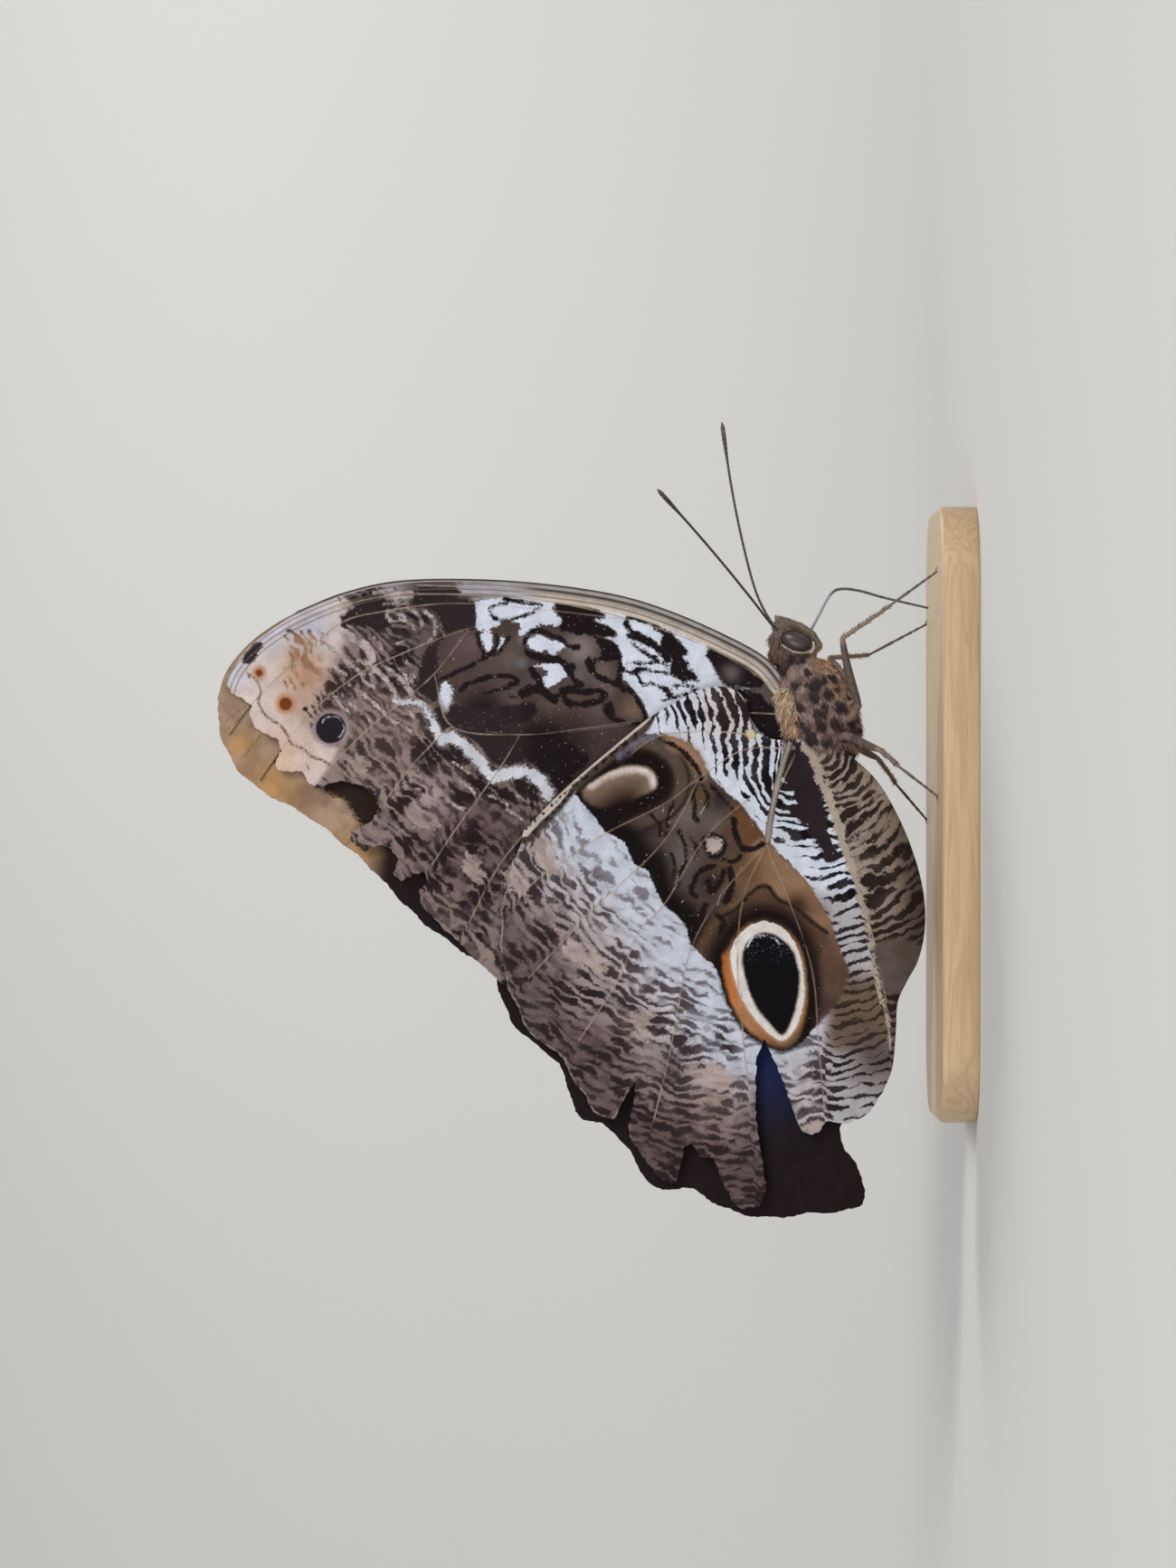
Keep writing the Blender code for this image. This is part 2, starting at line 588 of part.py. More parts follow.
def make_base(finish):
    corners = []
    for cx, cy, start in ((1, 1, 0), (-1, 1, 90), (-1, -1, 180), (1, -1, 270)):
        for k in range(7):
            turn = radians(start + 15 * k)
            corners.append((cx * (BASE_LENGTH / 2 - BASE_CORNER) + BASE_CORNER * cos(turn),
                            cy * (BASE_WIDTH / 2 - BASE_CORNER) + BASE_CORNER * sin(turn)))
    count = len(corners)
    points = [(x, y, 0.0) for x, y in corners] + [(x, y, BASE_THICKNESS - JOINT_GAP) for x, y in corners]
    faces = [tuple(range(count)), tuple(range(count, 2 * count))]
    faces += [(k, (k + 1) % count, (k + 1) % count + count, k + count) for k in range(count)]
    obj = new_object("stand_base", points, faces, finish, smooth_angle=30)
    bevel = obj.modifiers.new("soft edge", "BEVEL")
    bevel.width = BASE_BEVEL
    bevel.segments = 2
    bevel.limit_method = "ANGLE"
    bevel.angle_limit = radians(50)
    return obj


def build():
    clear_scene()
    wing_finish = material("wing scales", (0.27, 0.22, 0.19), 0.75)
    coat = material("body hair", (0.33, 0.25, 0.19), 0.85)
    eye_finish = material("compound eye", (0.14, 0.09, 0.07), 0.3)
    horn = material("feeler and leg shell", (0.12, 0.10, 0.09), 0.55)
    wood = material("pale wood", (0.55, 0.43, 0.30), 0.5)

    thorax = loft("thorax", body_rings(THORAX_RINGS), coat)
    head = loft("head", body_rings(HEAD_RINGS), coat)
    eyes = [make_eye("right", -1, eye_finish), make_eye("left", 1, eye_finish)]
    part_from(head, thorax, *eyes)
    make_abdomen(coat, thorax)
    make_antenna("right", ANTENNA_RIGHT, horn, head)
    make_antenna("left", ANTENNA_LEFT, horn, head)
    palps = [make_palp("right", -1, coat, head), make_palp("left", 1, coat, head)]
    tongue_line = catmull([limb_point(p) for p in PROBOSCIS_PATH], 1.3 * MM)
    tongue = tube("proboscis", tongue_line, [PROBOSCIS_RADIUS] * len(tongue_line), LIMB_SIDES, horn)
    part_from(tongue, head, *palps)
    make_leg("mid_leg_right", MID_LEG_RIGHT, horn, thorax)
    make_leg("mid_leg_left", MID_LEG_LEFT, horn, thorax)
    make_leg("hind_leg_right", HIND_LEG_RIGHT, horn, thorax)
    make_leg("hind_leg_left", HIND_LEG_LEFT, horn, thorax)
    make_foreleg("right", 1, horn, thorax)
    make_foreleg("left", -1, horn, thorax)
    make_wings(wing_finish, thorax)
    make_base(wood)


build()
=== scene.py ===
# %% [markdown]
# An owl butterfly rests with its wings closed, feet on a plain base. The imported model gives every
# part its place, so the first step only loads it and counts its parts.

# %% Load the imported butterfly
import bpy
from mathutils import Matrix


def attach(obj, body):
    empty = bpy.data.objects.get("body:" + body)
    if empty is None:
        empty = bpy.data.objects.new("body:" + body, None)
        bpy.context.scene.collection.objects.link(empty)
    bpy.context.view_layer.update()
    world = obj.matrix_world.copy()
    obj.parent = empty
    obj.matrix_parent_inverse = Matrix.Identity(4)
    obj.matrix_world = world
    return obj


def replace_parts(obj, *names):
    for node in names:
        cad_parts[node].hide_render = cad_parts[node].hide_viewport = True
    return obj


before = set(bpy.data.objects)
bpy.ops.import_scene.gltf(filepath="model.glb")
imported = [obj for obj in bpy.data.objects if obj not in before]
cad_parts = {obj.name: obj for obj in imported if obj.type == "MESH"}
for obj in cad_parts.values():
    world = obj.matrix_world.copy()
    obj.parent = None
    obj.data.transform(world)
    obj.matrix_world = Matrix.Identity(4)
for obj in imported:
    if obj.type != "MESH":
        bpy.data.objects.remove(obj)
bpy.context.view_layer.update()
print("packed parts:", len(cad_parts))

# %% Tools and scale
from math import cos, pi, radians, sin

import bmesh
import bpy
import numpy as np
from mathutils import Matrix, Vector, noise
from mathutils.geometry import delaunay_2d_cdt

MM = 0.001
PIXEL = 72 * MM / 620
BASE_TOP = 5 * MM
PERCH_U, MIDDLE_V = 1030, 900
WING_ROOT = np.array((862.0, 800.0))
VIEW_DISTANCE = 0.9
chance = np.random.default_rng(7)


def to_plane(places):
    """Side-view places (u, v) as x and z in metres."""
    places = np.asarray(places, float)
    return (MIDDLE_V - places[..., 1]) * PIXEL, BASE_TOP + (PERCH_U - places[..., 0]) * PIXEL


def linear(colours):
    """Colours mixed on the 0 to 255 scale, made linear for the shader."""
    c = np.clip(np.asarray(colours) / 255, 0, 1)
    return np.where(c <= 0.04045, c / 12.92, ((c + 0.055) / 1.055) ** 2.4)


def rgba(colour):
    """One plain colour as a shader's socket takes it."""
    return (*linear(colour), 1)


def add_object(name, data):
    """A new object in the scene."""
    made = bpy.data.objects.new(name, data)
    bpy.context.scene.collection.objects.link(made)
    return made


print("one pixel is", round(PIXEL * 1000, 4), "mm")

# %% [markdown]
# A wing's outline is a smooth curve through a few places, and the tattered right wings are cut
# by straight, broken edges. A curve object could do it, but plain arrays are easier to resample
# evenly, which the fine membrane mesh needs.

# %% Wing outlines
COSTA_FORE = [
    (890, 778), (868, 752), (845, 726), (800, 701), (740, 675), (680, 657), (600, 645), (520, 640),
    (440, 642), (380, 655), (330, 675)]
APEX_WHOLE = [(330, 675), (300, 692), (272, 714), (250, 742), (240, 772)]
MARGIN_FORE_WHOLE = [
    (240, 772), (239, 798), (252, 838), (278, 868), (310, 888), (345, 908), (398, 951), (432, 986),
    (468, 1022), (528, 1066), (562, 1092)]
DORSUM_FORE = [(562, 1092), (640, 1046), (720, 985), (800, 905), (850, 845), (890, 806)]
APEX_WORN = [(330, 675), (302, 695), (277, 714), (260, 736), (250, 757)]
MARGIN_FORE_WORN = [
    (250, 757), (256, 766), (268, 771), (279, 780), (276, 791), (282, 804), (293, 811), (308, 818),
    (312, 830), (303, 842), (307, 851), (321, 853), (334, 852), (342, 866), (352, 872), (363, 866),
    (380, 863), (401, 869), (413, 880), (419, 893), (413, 905), (400, 913), (388, 919), (388, 930),
    (403, 941), (419, 934), (433, 938), (441, 950), (435, 966), (444, 974), (456, 966), (470, 964),
    (471, 974), (463, 986), (467, 1001), (482, 1017), (503, 1038), (530, 1064), (545, 1078), (562, 1092)]
COSTA_HIND = [
    (898, 815), (866, 818), (845, 815), (830, 802), (825, 780), (815, 765), (795, 759), (770, 764),
    (747, 776), (717, 794), (680, 824), (640, 858), (608, 888), (579, 918)]
MARGIN_HIND_WHOLE = [
    (579, 918), (563, 960), (553, 1000), (546, 1045), (550, 1096), (571, 1140), (600, 1162), (622, 1188),
    (636, 1232), (668, 1247), (690, 1268), (722, 1314), (762, 1316), (800, 1337), (845, 1348), (900, 1343),
    (948, 1337), (958, 1312), (946, 1284), (934, 1264), (931, 1244), (950, 1229), (975, 1208)]
MARGIN_HIND_WORN = [
    (579, 918), (563, 960), (554, 1000), (552, 1045), (560, 1088), (573, 1120), (591, 1150), (616, 1164),
    (628, 1188), (643, 1208), (653, 1228), (678, 1239)]
TEARS_HIND = [
    (678, 1239), (690, 1214), (703, 1194), (700, 1222), (694, 1252), (706, 1272), (726, 1299), (746, 1310),
    (753, 1285), (756, 1267), (765, 1263), (773, 1278), (788, 1280), (798, 1304), (815, 1336), (839, 1333),
    (847, 1314), (841, 1272), (835, 1235), (835, 1198), (836, 1168), (845, 1148), (857, 1174), (868, 1202),
    (879, 1236), (890, 1255), (905, 1251), (913, 1239), (938, 1241), (960, 1230), (975, 1208)]
INNER_HIND = [
    (975, 1208), (986, 1180), (990, 1140), (992, 1108), (1002, 1085), (1015, 1060), (1022, 1025),
    (1020, 985), (1008, 940), (990, 898), (968, 862), (940, 836), (918, 822), (898, 815)]
GRAIN = 3.6


def curve(places, step=GRAIN):
    """A smooth curve through the places, resampled about every step pixels."""
    p = [np.array(q, float) for q in places]
    p = [2 * p[0] - p[1], *p, 2 * p[-1] - p[-2]]
    out = []
    for a, b, c, d in zip(p, p[1:], p[2:], p[3:]):
        count = max(1, round(np.linalg.norm(c - b) / step))
        for t in np.arange(count) / count:
            out.append(0.5 * (2 * b + (c - a) * t + (2 * a - 5 * b + 4 * c - d) * t ** 2
                              + (3 * b - a - 3 * c + d) * t ** 3))
    return np.array(out + [p[-2]])


def broken(places, ragged=1.1):
    """A torn edge: straight runs between places, each shaken a little."""
    out = []
    for a, b in zip(places, places[1:]):
        a, b = np.array(a, float), np.array(b, float)
        count = max(1, round(np.linalg.norm(b - a) / GRAIN))
        out += [a + (b - a) * i / count + chance.uniform(-ragged, ragged, 2) * (i > 0)
                for i in range(count)]
    return np.array(out + [np.array(places[-1], float)])


def fringed(line, depth=2.2, reach=45.0):
    """A whole margin, drawn in a little between the ends of the veins."""
    ahead = np.gradient(line, axis=0)
    ahead /= np.linalg.norm(ahead, axis=1)[:, None]
    run = np.concatenate([[0], np.cumsum(np.linalg.norm(np.diff(line, axis=0), axis=1))])
    inward = np.column_stack([ahead[:, 1], -ahead[:, 0]])
    wave = np.sin(pi * run / reach) ** 2 * depth + chance.uniform(0, 1.5, len(line))
    wave[[0, -1]] = 0
    return line + inward * wave[:, None]


def outline(*runs):
    """Runs joined end to end into one loop without doubled corners."""
    loop = [runs[0][0]]
    for p in np.vstack(runs):
        if np.linalg.norm(p - loop[-1]) > 0.6:
            loop.append(p)
    return np.array(loop[:-1] if np.linalg.norm(loop[0] - loop[-1]) < 0.6 else loop)


OUTLINES = {
    "forewing_left": outline(
        curve(COSTA_FORE), curve(APEX_WHOLE), fringed(curve(MARGIN_FORE_WHOLE)), curve(DORSUM_FORE)),
    "forewing_right": outline(
        curve(COSTA_FORE), curve(APEX_WORN), broken(MARGIN_FORE_WORN), curve(DORSUM_FORE)),
    "hindwing_left": outline(
        curve(COSTA_HIND), fringed(curve(MARGIN_HIND_WHOLE)), curve(INNER_HIND)),
    "hindwing_right": outline(
        curve(COSTA_HIND), fringed(curve(MARGIN_HIND_WORN)), broken(TEARS_HIND), curve(INNER_HIND)),
}
print({name: len(loop) for name, loop in OUTLINES.items()})

# %% Vein courses
VEINS_FORE = [
    [(878, 774), (800, 712), (700, 674), (600, 654), (520, 649), (462, 647)],
    [(878, 778), (800, 724), (700, 686), (600, 664), (500, 657), (420, 660), (350, 680), (298, 706)],
    [(700, 686), (600, 674), (500, 667), (418, 677), (377, 689), (336, 723), (285, 771), (254, 812)],
    [(600, 674), (520, 694), (448, 721), (391, 749), (340, 792), (308, 834), (288, 862)],
    [(520, 694), (480, 745), (441, 778), (409, 804), (379, 833), (354, 860)],
    [(878, 790), (800, 788), (720, 795), (640, 806), (575, 812), (500, 803), (480, 745)],
    [(500, 803), (487, 813), (455, 847), (430, 880)],
    [(575, 812), (553, 848), (505, 915), (478, 955)],
    [(720, 795), (640, 860), (560, 945), (518, 1020)]]
VEINS_HIND = [
    [(878, 826), (825, 812), (765, 809), (715, 820), (660, 872), (612, 912)],
    [(878, 828), (822, 829), (772, 860), (735, 888), (668, 922), (600, 967), (574, 992)],
    [(772, 860), (750, 905), (720, 945), (660, 1000), (625, 1037), (585, 1080)],
    [(830, 880), (780, 925), (735, 998), (705, 1030), (685, 1080), (640, 1150)],
    [(848, 932), (800, 985), (765, 1045), (750, 1110), (740, 1165), (722, 1240)],
    [(848, 932), (822, 990), (815, 1060), (820, 1130), (826, 1200)],
    [(878, 834), (858, 880), (848, 932), (868, 985), (897, 1070), (905, 1160), (911, 1222)],
    [(893, 838), (925, 910), (945, 970), (965, 1040), (978, 1100), (984, 1160)]]

# %% [markdown]
# Scales, ripples and spots are painted by how far each point of the wing lies from a few drawn
# lines. A picture texture would be simpler, but distances stay sharp at any size, so each point
# of the mesh stores them and the shader draws the edges.

# %% Distances from drawn lines


def off_line(points, *lines):
    """How far each point lies from the nearest of some drawn lines, in pixels."""
    best = np.full(len(points), 1e9)
    for line in lines:
        line = np.asarray(line, float)
        for a, b in zip(line[:-1], line[1:]):
            run = b - a
            t = np.clip(((points - a) @ run) / max(run @ run, 1e-9), 0, 1)
            best = np.minimum(best, np.hypot(*(points - a - t[:, None] * run).T))
    return best


def nearest(points, line):
    """Distance from a line, share of the way along it and side of it, for each point."""
    best, share, side = np.full(len(points), 1e9), np.zeros(len(points)), np.zeros(len(points))
    for i, (a, b) in enumerate(zip(line, line[1:])):
        run = b - a
        t = np.clip(((points - a) @ run) / (run @ run), 0, 1)
        off = points - a - t[:, None] * run
        away = np.hypot(*off.T)
        closer = away < best
        best, share = np.where(closer, away, best), np.where(closer, (i + t) / (len(line) - 1), share)
        side = np.where(closer, np.sign(run[0] * off[:, 1] - run[1] * off[:, 0]), side)
    return best, share, side


def within(points, loop):
    """True for each point that a loop goes round."""
    x, y = points.T
    found = np.zeros(len(points), bool)
    for (x0, y0), (x1, y1) in zip(loop, np.roll(loop, -1, axis=0)):
        if y0 != y1:
            found ^= ((y0 > y) != (y1 > y)) & (x < (x1 - x0) * (y - y0) / (y1 - y0) + x0)
    return found


def depth_in(points, places, smooth=True):
    """Distance to a loop's edge, above zero inside it."""
    closed = [*places, places[0]]
    loop = curve(closed, 4.0) if smooth else np.array(closed, float)
    away = off_line(points, loop)
    return np.where(within(points, loop), away, -away)


def strokes(points, lines):
    """Depth inside drawn strokes, each one a half width and its places."""
    best = np.full(len(points), -99.0)
    for half, *places in lines:
        best = np.maximum(best, half - off_line(points, curve(places, 4)))
    return best


def ease(low, high, value):
    t = np.clip((value - low) / (high - low), 0, 1)
    return t * t * (3 - 2 * t)


def near(points, place, reach):
    """1 at a place, fading to 0 over about its reach."""
    return np.exp(-np.sum((points - np.array(place, float)) ** 2, axis=1) / reach ** 2)


print("distance tools ready")

# %% [markdown]
# The hindwing stands outside the forewing and its inner edge folds round the abdomen. These
# heights follow the solids, so that each thin membrane stays inside the plate it replaces.

# %% How far each wing stands from the middle
ABDOMEN_AXIS = [(921, 846), (931, 872), (944, 905), (959, 950), (973, 995), (983, 1035), (988, 1062)]
ABDOMEN_LINE = curve(ABDOMEN_AXIS, 8.0)


def abdomen_radius(share):
    swell = ease(0.0, 0.3, share) * 0.38 + 0.62
    return 3.5 * MM * swell * (1 - 0.7 * np.maximum(0.0, (share - 0.5) / 0.5) ** 2.2)


def forewing_height(points):
    reach = np.hypot(*(points - np.array((868, 790))).T) * PIXEL
    return (0.7 + 1.3 * np.exp(-(reach / (14 * MM)) ** 2)) * MM


def hindwing_height(points):
    along = np.array((-320.0, 267.0)) / np.hypot(320, 267)
    past = ((points - np.array((880, 812))) @ np.array((along[1], -along[0]))) * PIXEL
    flat = forewing_height(points) + 1.2 * MM - 0.95 * MM * ease(1.5 * MM, 14 * MM, past)
    away, share, _ = nearest(points, ABDOMEN_LINE)
    ring, away = abdomen_radius(share) + 1.0 * MM, away * PIXEL
    fold = ring * np.exp(-away ** 2 / (2 * ring ** 2)) * ease(805, 850, points[:, 1])
    return (flat ** 4 + fold ** 4) ** 0.25


print("hindwing stands", round(hindwing_height(np.array([(700.0, 1000.0)]))[0] * 1000, 2), "mm out")

# %% [markdown]
# A membrane mesh needs small, even triangles that follow the outline and the veins. Filling the
# outline by a constrained triangulation gives both. Each wing has an upper and an under face, set
# as two thin pieces that meet at the edge, so that each has markings of its own.

# %% Fill each wing with fine triangles
VEIN_WIDTH = 2.3


def fill_wing(loop, veins):
    """Places and triangles of a wing, and how far each place is from veins and edge."""
    lines = [curve(vein, GRAIN) for vein in veins]
    points, edges = [tuple(p) for p in loop], [(i, (i + 1) % len(loop)) for i in range(len(loop))]
    rim = np.vstack([loop, loop[:1]])
    for line in lines:
        ahead = np.gradient(line, axis=0)
        ahead /= np.linalg.norm(ahead, axis=1)[:, None]
        for shift in (-VEIN_WIDTH, 0, VEIN_WIDTH):
            run = line + np.column_stack([-ahead[:, 1], ahead[:, 0]]) * shift
            keep = within(run, loop) & (off_line(run, rim) > 2.5)
            for k, p in enumerate(run):
                if keep[k]:
                    points.append(tuple(p))
                    if k and keep[k - 1]:
                        edges.append((len(points) - 2, len(points) - 1))
    low, high = loop.min(axis=0), loop.max(axis=0)
    rows = np.arange(low[1], high[1], GRAIN * 0.866)
    grid = np.array([(x + GRAIN / 2 * (j % 2), y) for j, y in enumerate(rows)
                     for x in np.arange(low[0], high[0], GRAIN)])
    grid = grid[within(grid, loop)]
    grid = grid[(off_line(grid, rim) > GRAIN * 0.55) & (off_line(grid, *lines) > VEIN_WIDTH + 1.2)]
    points += [tuple(p) for p in grid]
    found = delaunay_2d_cdt([Vector(p) for p in points], edges, [], 0, 1e-4)
    flat, faces = np.array([tuple(p) for p in found[0]]), np.array(found[2])
    faces = faces[within(flat[faces].mean(axis=1), loop)]
    used, index = np.unique(faces, return_inverse=True)
    flat = flat[used]
    return flat, index.reshape(faces.shape), off_line(flat, *lines), off_line(flat, rim)


PLANS = {}
for name, loop in OUTLINES.items():
    PLANS[name] = fill_wing(loop, VEINS_FORE if name.startswith("fore") else VEINS_HIND)
    print(name, len(PLANS[name][1]), "triangles a face")

# %% [markdown]
# The colours of a wing are scales, laid in ripples that run round the wing's root like rings in
# wood. A ripple is a wave of one number, its phase, so each point stores that phase, the light
# and dark colour of its zone, and how much of the wave is dark.

# %% Ripples shared by both wings


def blend(under, over, share):
    """Colours of many points, mixed by each point's share."""
    return under + (np.array(over) - under) * np.clip(share, 0, 1)[:, None]


def ripples(points, centre, pitch):
    """Phase in cycles and run along each ripple, in pixels, for rings about a moving centre."""
    away = points - centre
    radius = np.hypot(*away.T)
    return radius / pitch, np.arctan2(away[:, 1], -away[:, 0]) * radius


def layered(points, base, *layers):
    """A base colour under others, each with its share at every point."""
    colour = np.tile(np.array(base, float), (len(points), 1))
    for over, share in layers:
        colour = blend(colour, over, share)
    return colour


def patches(points, tints, strength=1.15):
    """Soft patches as layers, each drawn as a place, a reach and a colour."""
    return [(tint, strength * near(points, place, reach)) for place, reach, tint in tints]


def vein_steps(points, veins, reach):
    """A small shift of the ripples at each vein, as they don't quite meet across one."""
    shift = np.zeros(len(points))
    for k, vein in enumerate(veins):
        away, _, side = nearest(points, curve(vein, 9))
        shift += side * np.tanh(away / 2.0) * (0.16 + 0.10 * (k % 3))
    return shift * ease(150, 230, reach)


# %% [markdown]
# The hindwing's underside is read from the photograph's layout: a dark disc between two white
# bands, a yellow-rimmed eye, a smaller bean-shaped mark, a pale fold vein and a striped inner
# field that wraps the abdomen. Each is one loop or line of a few places.

# %% Hindwing markings
DISC_LEFT = [
    (636, 877), (655, 900), (668, 918), (690, 930), (703, 957), (715, 960), (726, 986), (735, 1002),
    (749, 1012), (759, 1026), (764, 1044), (776, 1057), (789, 1065), (795, 1078), (800, 1094), (805, 1110),
    (816, 1123), (824, 1141)]
DISC_RIGHT = [
    (868, 1158), (888, 1150), (903, 1132), (918, 1105), (938, 1073), (929, 1052), (923, 1036), (918, 1018),
    (907, 1000), (895, 980), (880, 962), (861, 944), (846, 927), (831, 905), (819, 890), (805, 878),
    (788, 861), (780, 849), (773, 832), (758, 820), (735, 812), (715, 812)]
DISC_TOP = [(690, 806), (668, 824), (650, 842), (638, 856)]
FOLD_VEIN = [
    (890, 826), (902, 846), (907, 864), (917, 888), (924, 907), (931, 934), (940, 956), (947, 983),
    (957, 1018), (963, 1047), (968, 1078), (973, 1102), (980, 1123), (984, 1150)]
MAIN_VEIN = [(872, 822), (861, 856), (853, 895), (848, 930)]
EYE_RING = [
    (843, 1018), (858, 1022), (870, 1031), (879, 1045), (885, 1062), (888, 1082), (888, 1104), (882, 1128),
    (874, 1143), (864, 1150), (852, 1143), (838, 1129), (823, 1108), (813, 1084), (808, 1056), (814, 1038),
    (828, 1024)]
EYE_PUPIL = [
    (843, 1032), (855, 1034), (867, 1042), (876, 1054), (881, 1072), (882, 1088), (877, 1116), (868, 1139),
    (862, 1141), (849, 1127), (836, 1110), (826, 1084), (822, 1056), (830, 1039)]
EYE_HALO = [
    (797, 1056), (800, 1084), (809, 1112), (822, 1134), (842, 1150), (866, 1159), (881, 1150), (889, 1130),
    (893, 1104), (892, 1080), (888, 1056), (879, 1036), (866, 1022), (845, 1015), (828, 1019), (811, 1034)]
EYE_GLINT = [(826, 1046), (831, 1037), (842, 1034), (854, 1036), (863, 1044)]
EYE_CRACK = [(813, 1040), (815, 1062), (817, 1090), (823, 1108), (834, 1124), (846, 1146)]
BROW = [
    (800, 1012), (814, 1004), (831, 986), (842, 979), (850, 981), (860, 994), (879, 1003), (894, 1016),
    (914, 1031)]
TAN = [
    (846, 925), (861, 944), (880, 962), (895, 980), (907, 1000), (918, 1018), (923, 1036), (929, 1052),
    (938, 1073), (930, 1100), (914, 1122), (900, 1134), (903, 1105), (902, 1070), (914, 1034), (896, 1014),
    (880, 1001), (862, 992), (850, 978), (842, 976), (829, 984), (814, 1001), (806, 1000), (812, 970),
    (826, 944), (834, 930)]
RUST = [(806, 886), (818, 892), (831, 907), (844, 926), (838, 938), (820, 934), (812, 918), (808, 902)]
BEAN = [
    (641, 875), (652, 866), (675, 852), (694, 846), (713, 847), (724, 855), (727, 866), (722, 874),
    (707, 881), (687, 890), (668, 894), (649, 888)]
BEAN_SHINE = [(652, 868), (668, 858), (690, 851), (710, 851), (721, 858), (723, 868)]
BEAN_RUST = [(735, 813), (758, 821), (772, 833), (779, 848), (776, 862), (768, 848), (757, 834), (740, 825)]
BASE_PATCH = [
    (866, 826), (884, 820), (897, 834), (905, 862), (910, 890), (917, 925), (924, 950), (912, 950),
    (900, 930), (888, 912), (872, 898), (880, 886), (874, 872), (866, 862)]
ANAL_PATCH = [(966, 1042), (1000, 1036), (1018, 1050), (1008, 1080), (994, 1096), (976, 1092), (968, 1066)]
BLOTCHES_HIND = [
    [(752, 1178), (770, 1173), (776, 1180), (790, 1174), (806, 1182), (808, 1198), (790, 1204),
     (768, 1194)],
    [(700, 1116), (712, 1114), (724, 1122), (716, 1136), (724, 1148), (706, 1146), (698, 1130)],
    [(624, 1040), (644, 1042), (664, 1058), (674, 1072), (656, 1074), (636, 1062), (624, 1054)],
    [(588, 930), (604, 922), (614, 936), (610, 950), (622, 968), (604, 966), (590, 950)],
    [(556, 962), (568, 956), (580, 972), (584, 990), (570, 986), (560, 974)],
    [(876, 1238), (890, 1244), (906, 1236), (910, 1252), (890, 1258)]]
WHITE, SNOW = (190, 195, 209), (203, 208, 222)
DISC_LINES = [
    (2.6, (735, 820), (745, 824), (755, 832), (764, 841), (771, 850), (774, 860)),
    (2.2, (768, 869), (766, 880), (768, 891), (766, 901), (771, 907)),
    (1.8, (745, 884), (740, 898), (738, 912), (736, 924)),
    (1.7, (750, 918), (757, 934), (758, 950), (753, 964), (749, 978)),
    (2.4, (777, 926), (781, 938), (787, 946), (796, 945), (801, 935), (795, 925), (784, 922)),
    (2.6, (790, 957), (778, 960), (770, 967), (766, 976), (763, 985), (770, 991)),
    (3.0, (782, 974), (786, 985), (795, 976), (800, 961)),
    (3.4, (807, 959), (809, 972), (807, 985), (802, 996)),
    (3.0, (811, 905), (812, 918), (816, 930), (823, 938), (833, 938), (843, 933)),
    (2.2, (744, 992), (752, 997), (759, 1001)), (2.6, (756, 1003), (759, 1006)),
    (3.0, (781, 999), (776, 1010), (775, 1021)), (2.0, (786, 868), (794, 878), (803, 886), (811, 896)),
    (1.8, (776, 868), (782, 880), (780, 892)), (1.6, (762, 926), (770, 936), (768, 950)),
    (1.8, (720, 900), (728, 910), (730, 922)), (1.6, (742, 942), (746, 958), (742, 974)),
    (2.0, (818, 946), (812, 952), (800, 950)), (2.4, (792, 1010), (800, 1018), (796, 1030))]
DISC_TINTS = [
    ((752, 855), 14, (90, 75, 66)), ((758, 900), 20, (102, 90, 84)), ((748, 950), 22, (96, 86, 82)),
    ((715, 905), 20, (46, 33, 33)), ((718, 955), 18, (26, 18, 19)), ((788, 912), 14, (94, 82, 76)),
    ((806, 922), 10, (88, 62, 52)), ((822, 970), 26, (100, 76, 52)), ((775, 878), 9, (88, 68, 48)),
    ((796, 884), 10, (52, 42, 44)), ((770, 1005), 16, (76, 60, 54)), ((790, 1030), 20, (56, 40, 34)),
    ((785, 975), 12, (50, 38, 36)), ((765, 1035), 14, (50, 38, 34))]
DISC_SCRATCHES = [
    (0.7, (744, 892), (741, 903), (739, 914)), (0.7, (768, 905), (776, 896), (784, 884)),
    (0.6, (743, 988), (746, 978), (749, 968)), (0.6, (792, 1002), (796, 990), (800, 975)),
    (0.6, (752, 998), (758, 993)), (0.7, (733, 892), (733, 899)), (0.8, (768, 944), (771, 952)),
    (0.7, (786, 966), (791, 971)), (0.8, (818, 957), (820, 962)), (0.6, (830, 918), (832, 906))]
OUTER_TINTS = [
    ((738, 1268), 46, (88, 72, 72)), ((830, 1290), 48, (86, 70, 70)), ((642, 1158), 30, (98, 82, 84)),
    ((742, 1178), 22, (104, 90, 92)), ((648, 1098), 26, (158, 144, 148)), ((836, 1232), 24, (112, 98, 98))]
HALO_TINTS = [
    ((828, 1126), 24, (168, 120, 82)), ((872, 1150), 28, (108, 80, 58)), ((896, 1080), 36, (84, 60, 46)),
    ((856, 1010), 36, (36, 25, 21)), ((806, 1038), 14, (52, 33, 26))]
SURROUND = [
    ((925, 1075), 30, (88, 66, 56)), ((906, 1046), 20, (92, 68, 54)), ((826, 965), 22, (104, 79, 59)),
    ((806, 990), 16, (80, 60, 46)), ((900, 1000), 16, (126, 96, 74)), ((917, 1114), 24, (74, 57, 54)),
    ((880, 1002), 13, (62, 42, 33))]


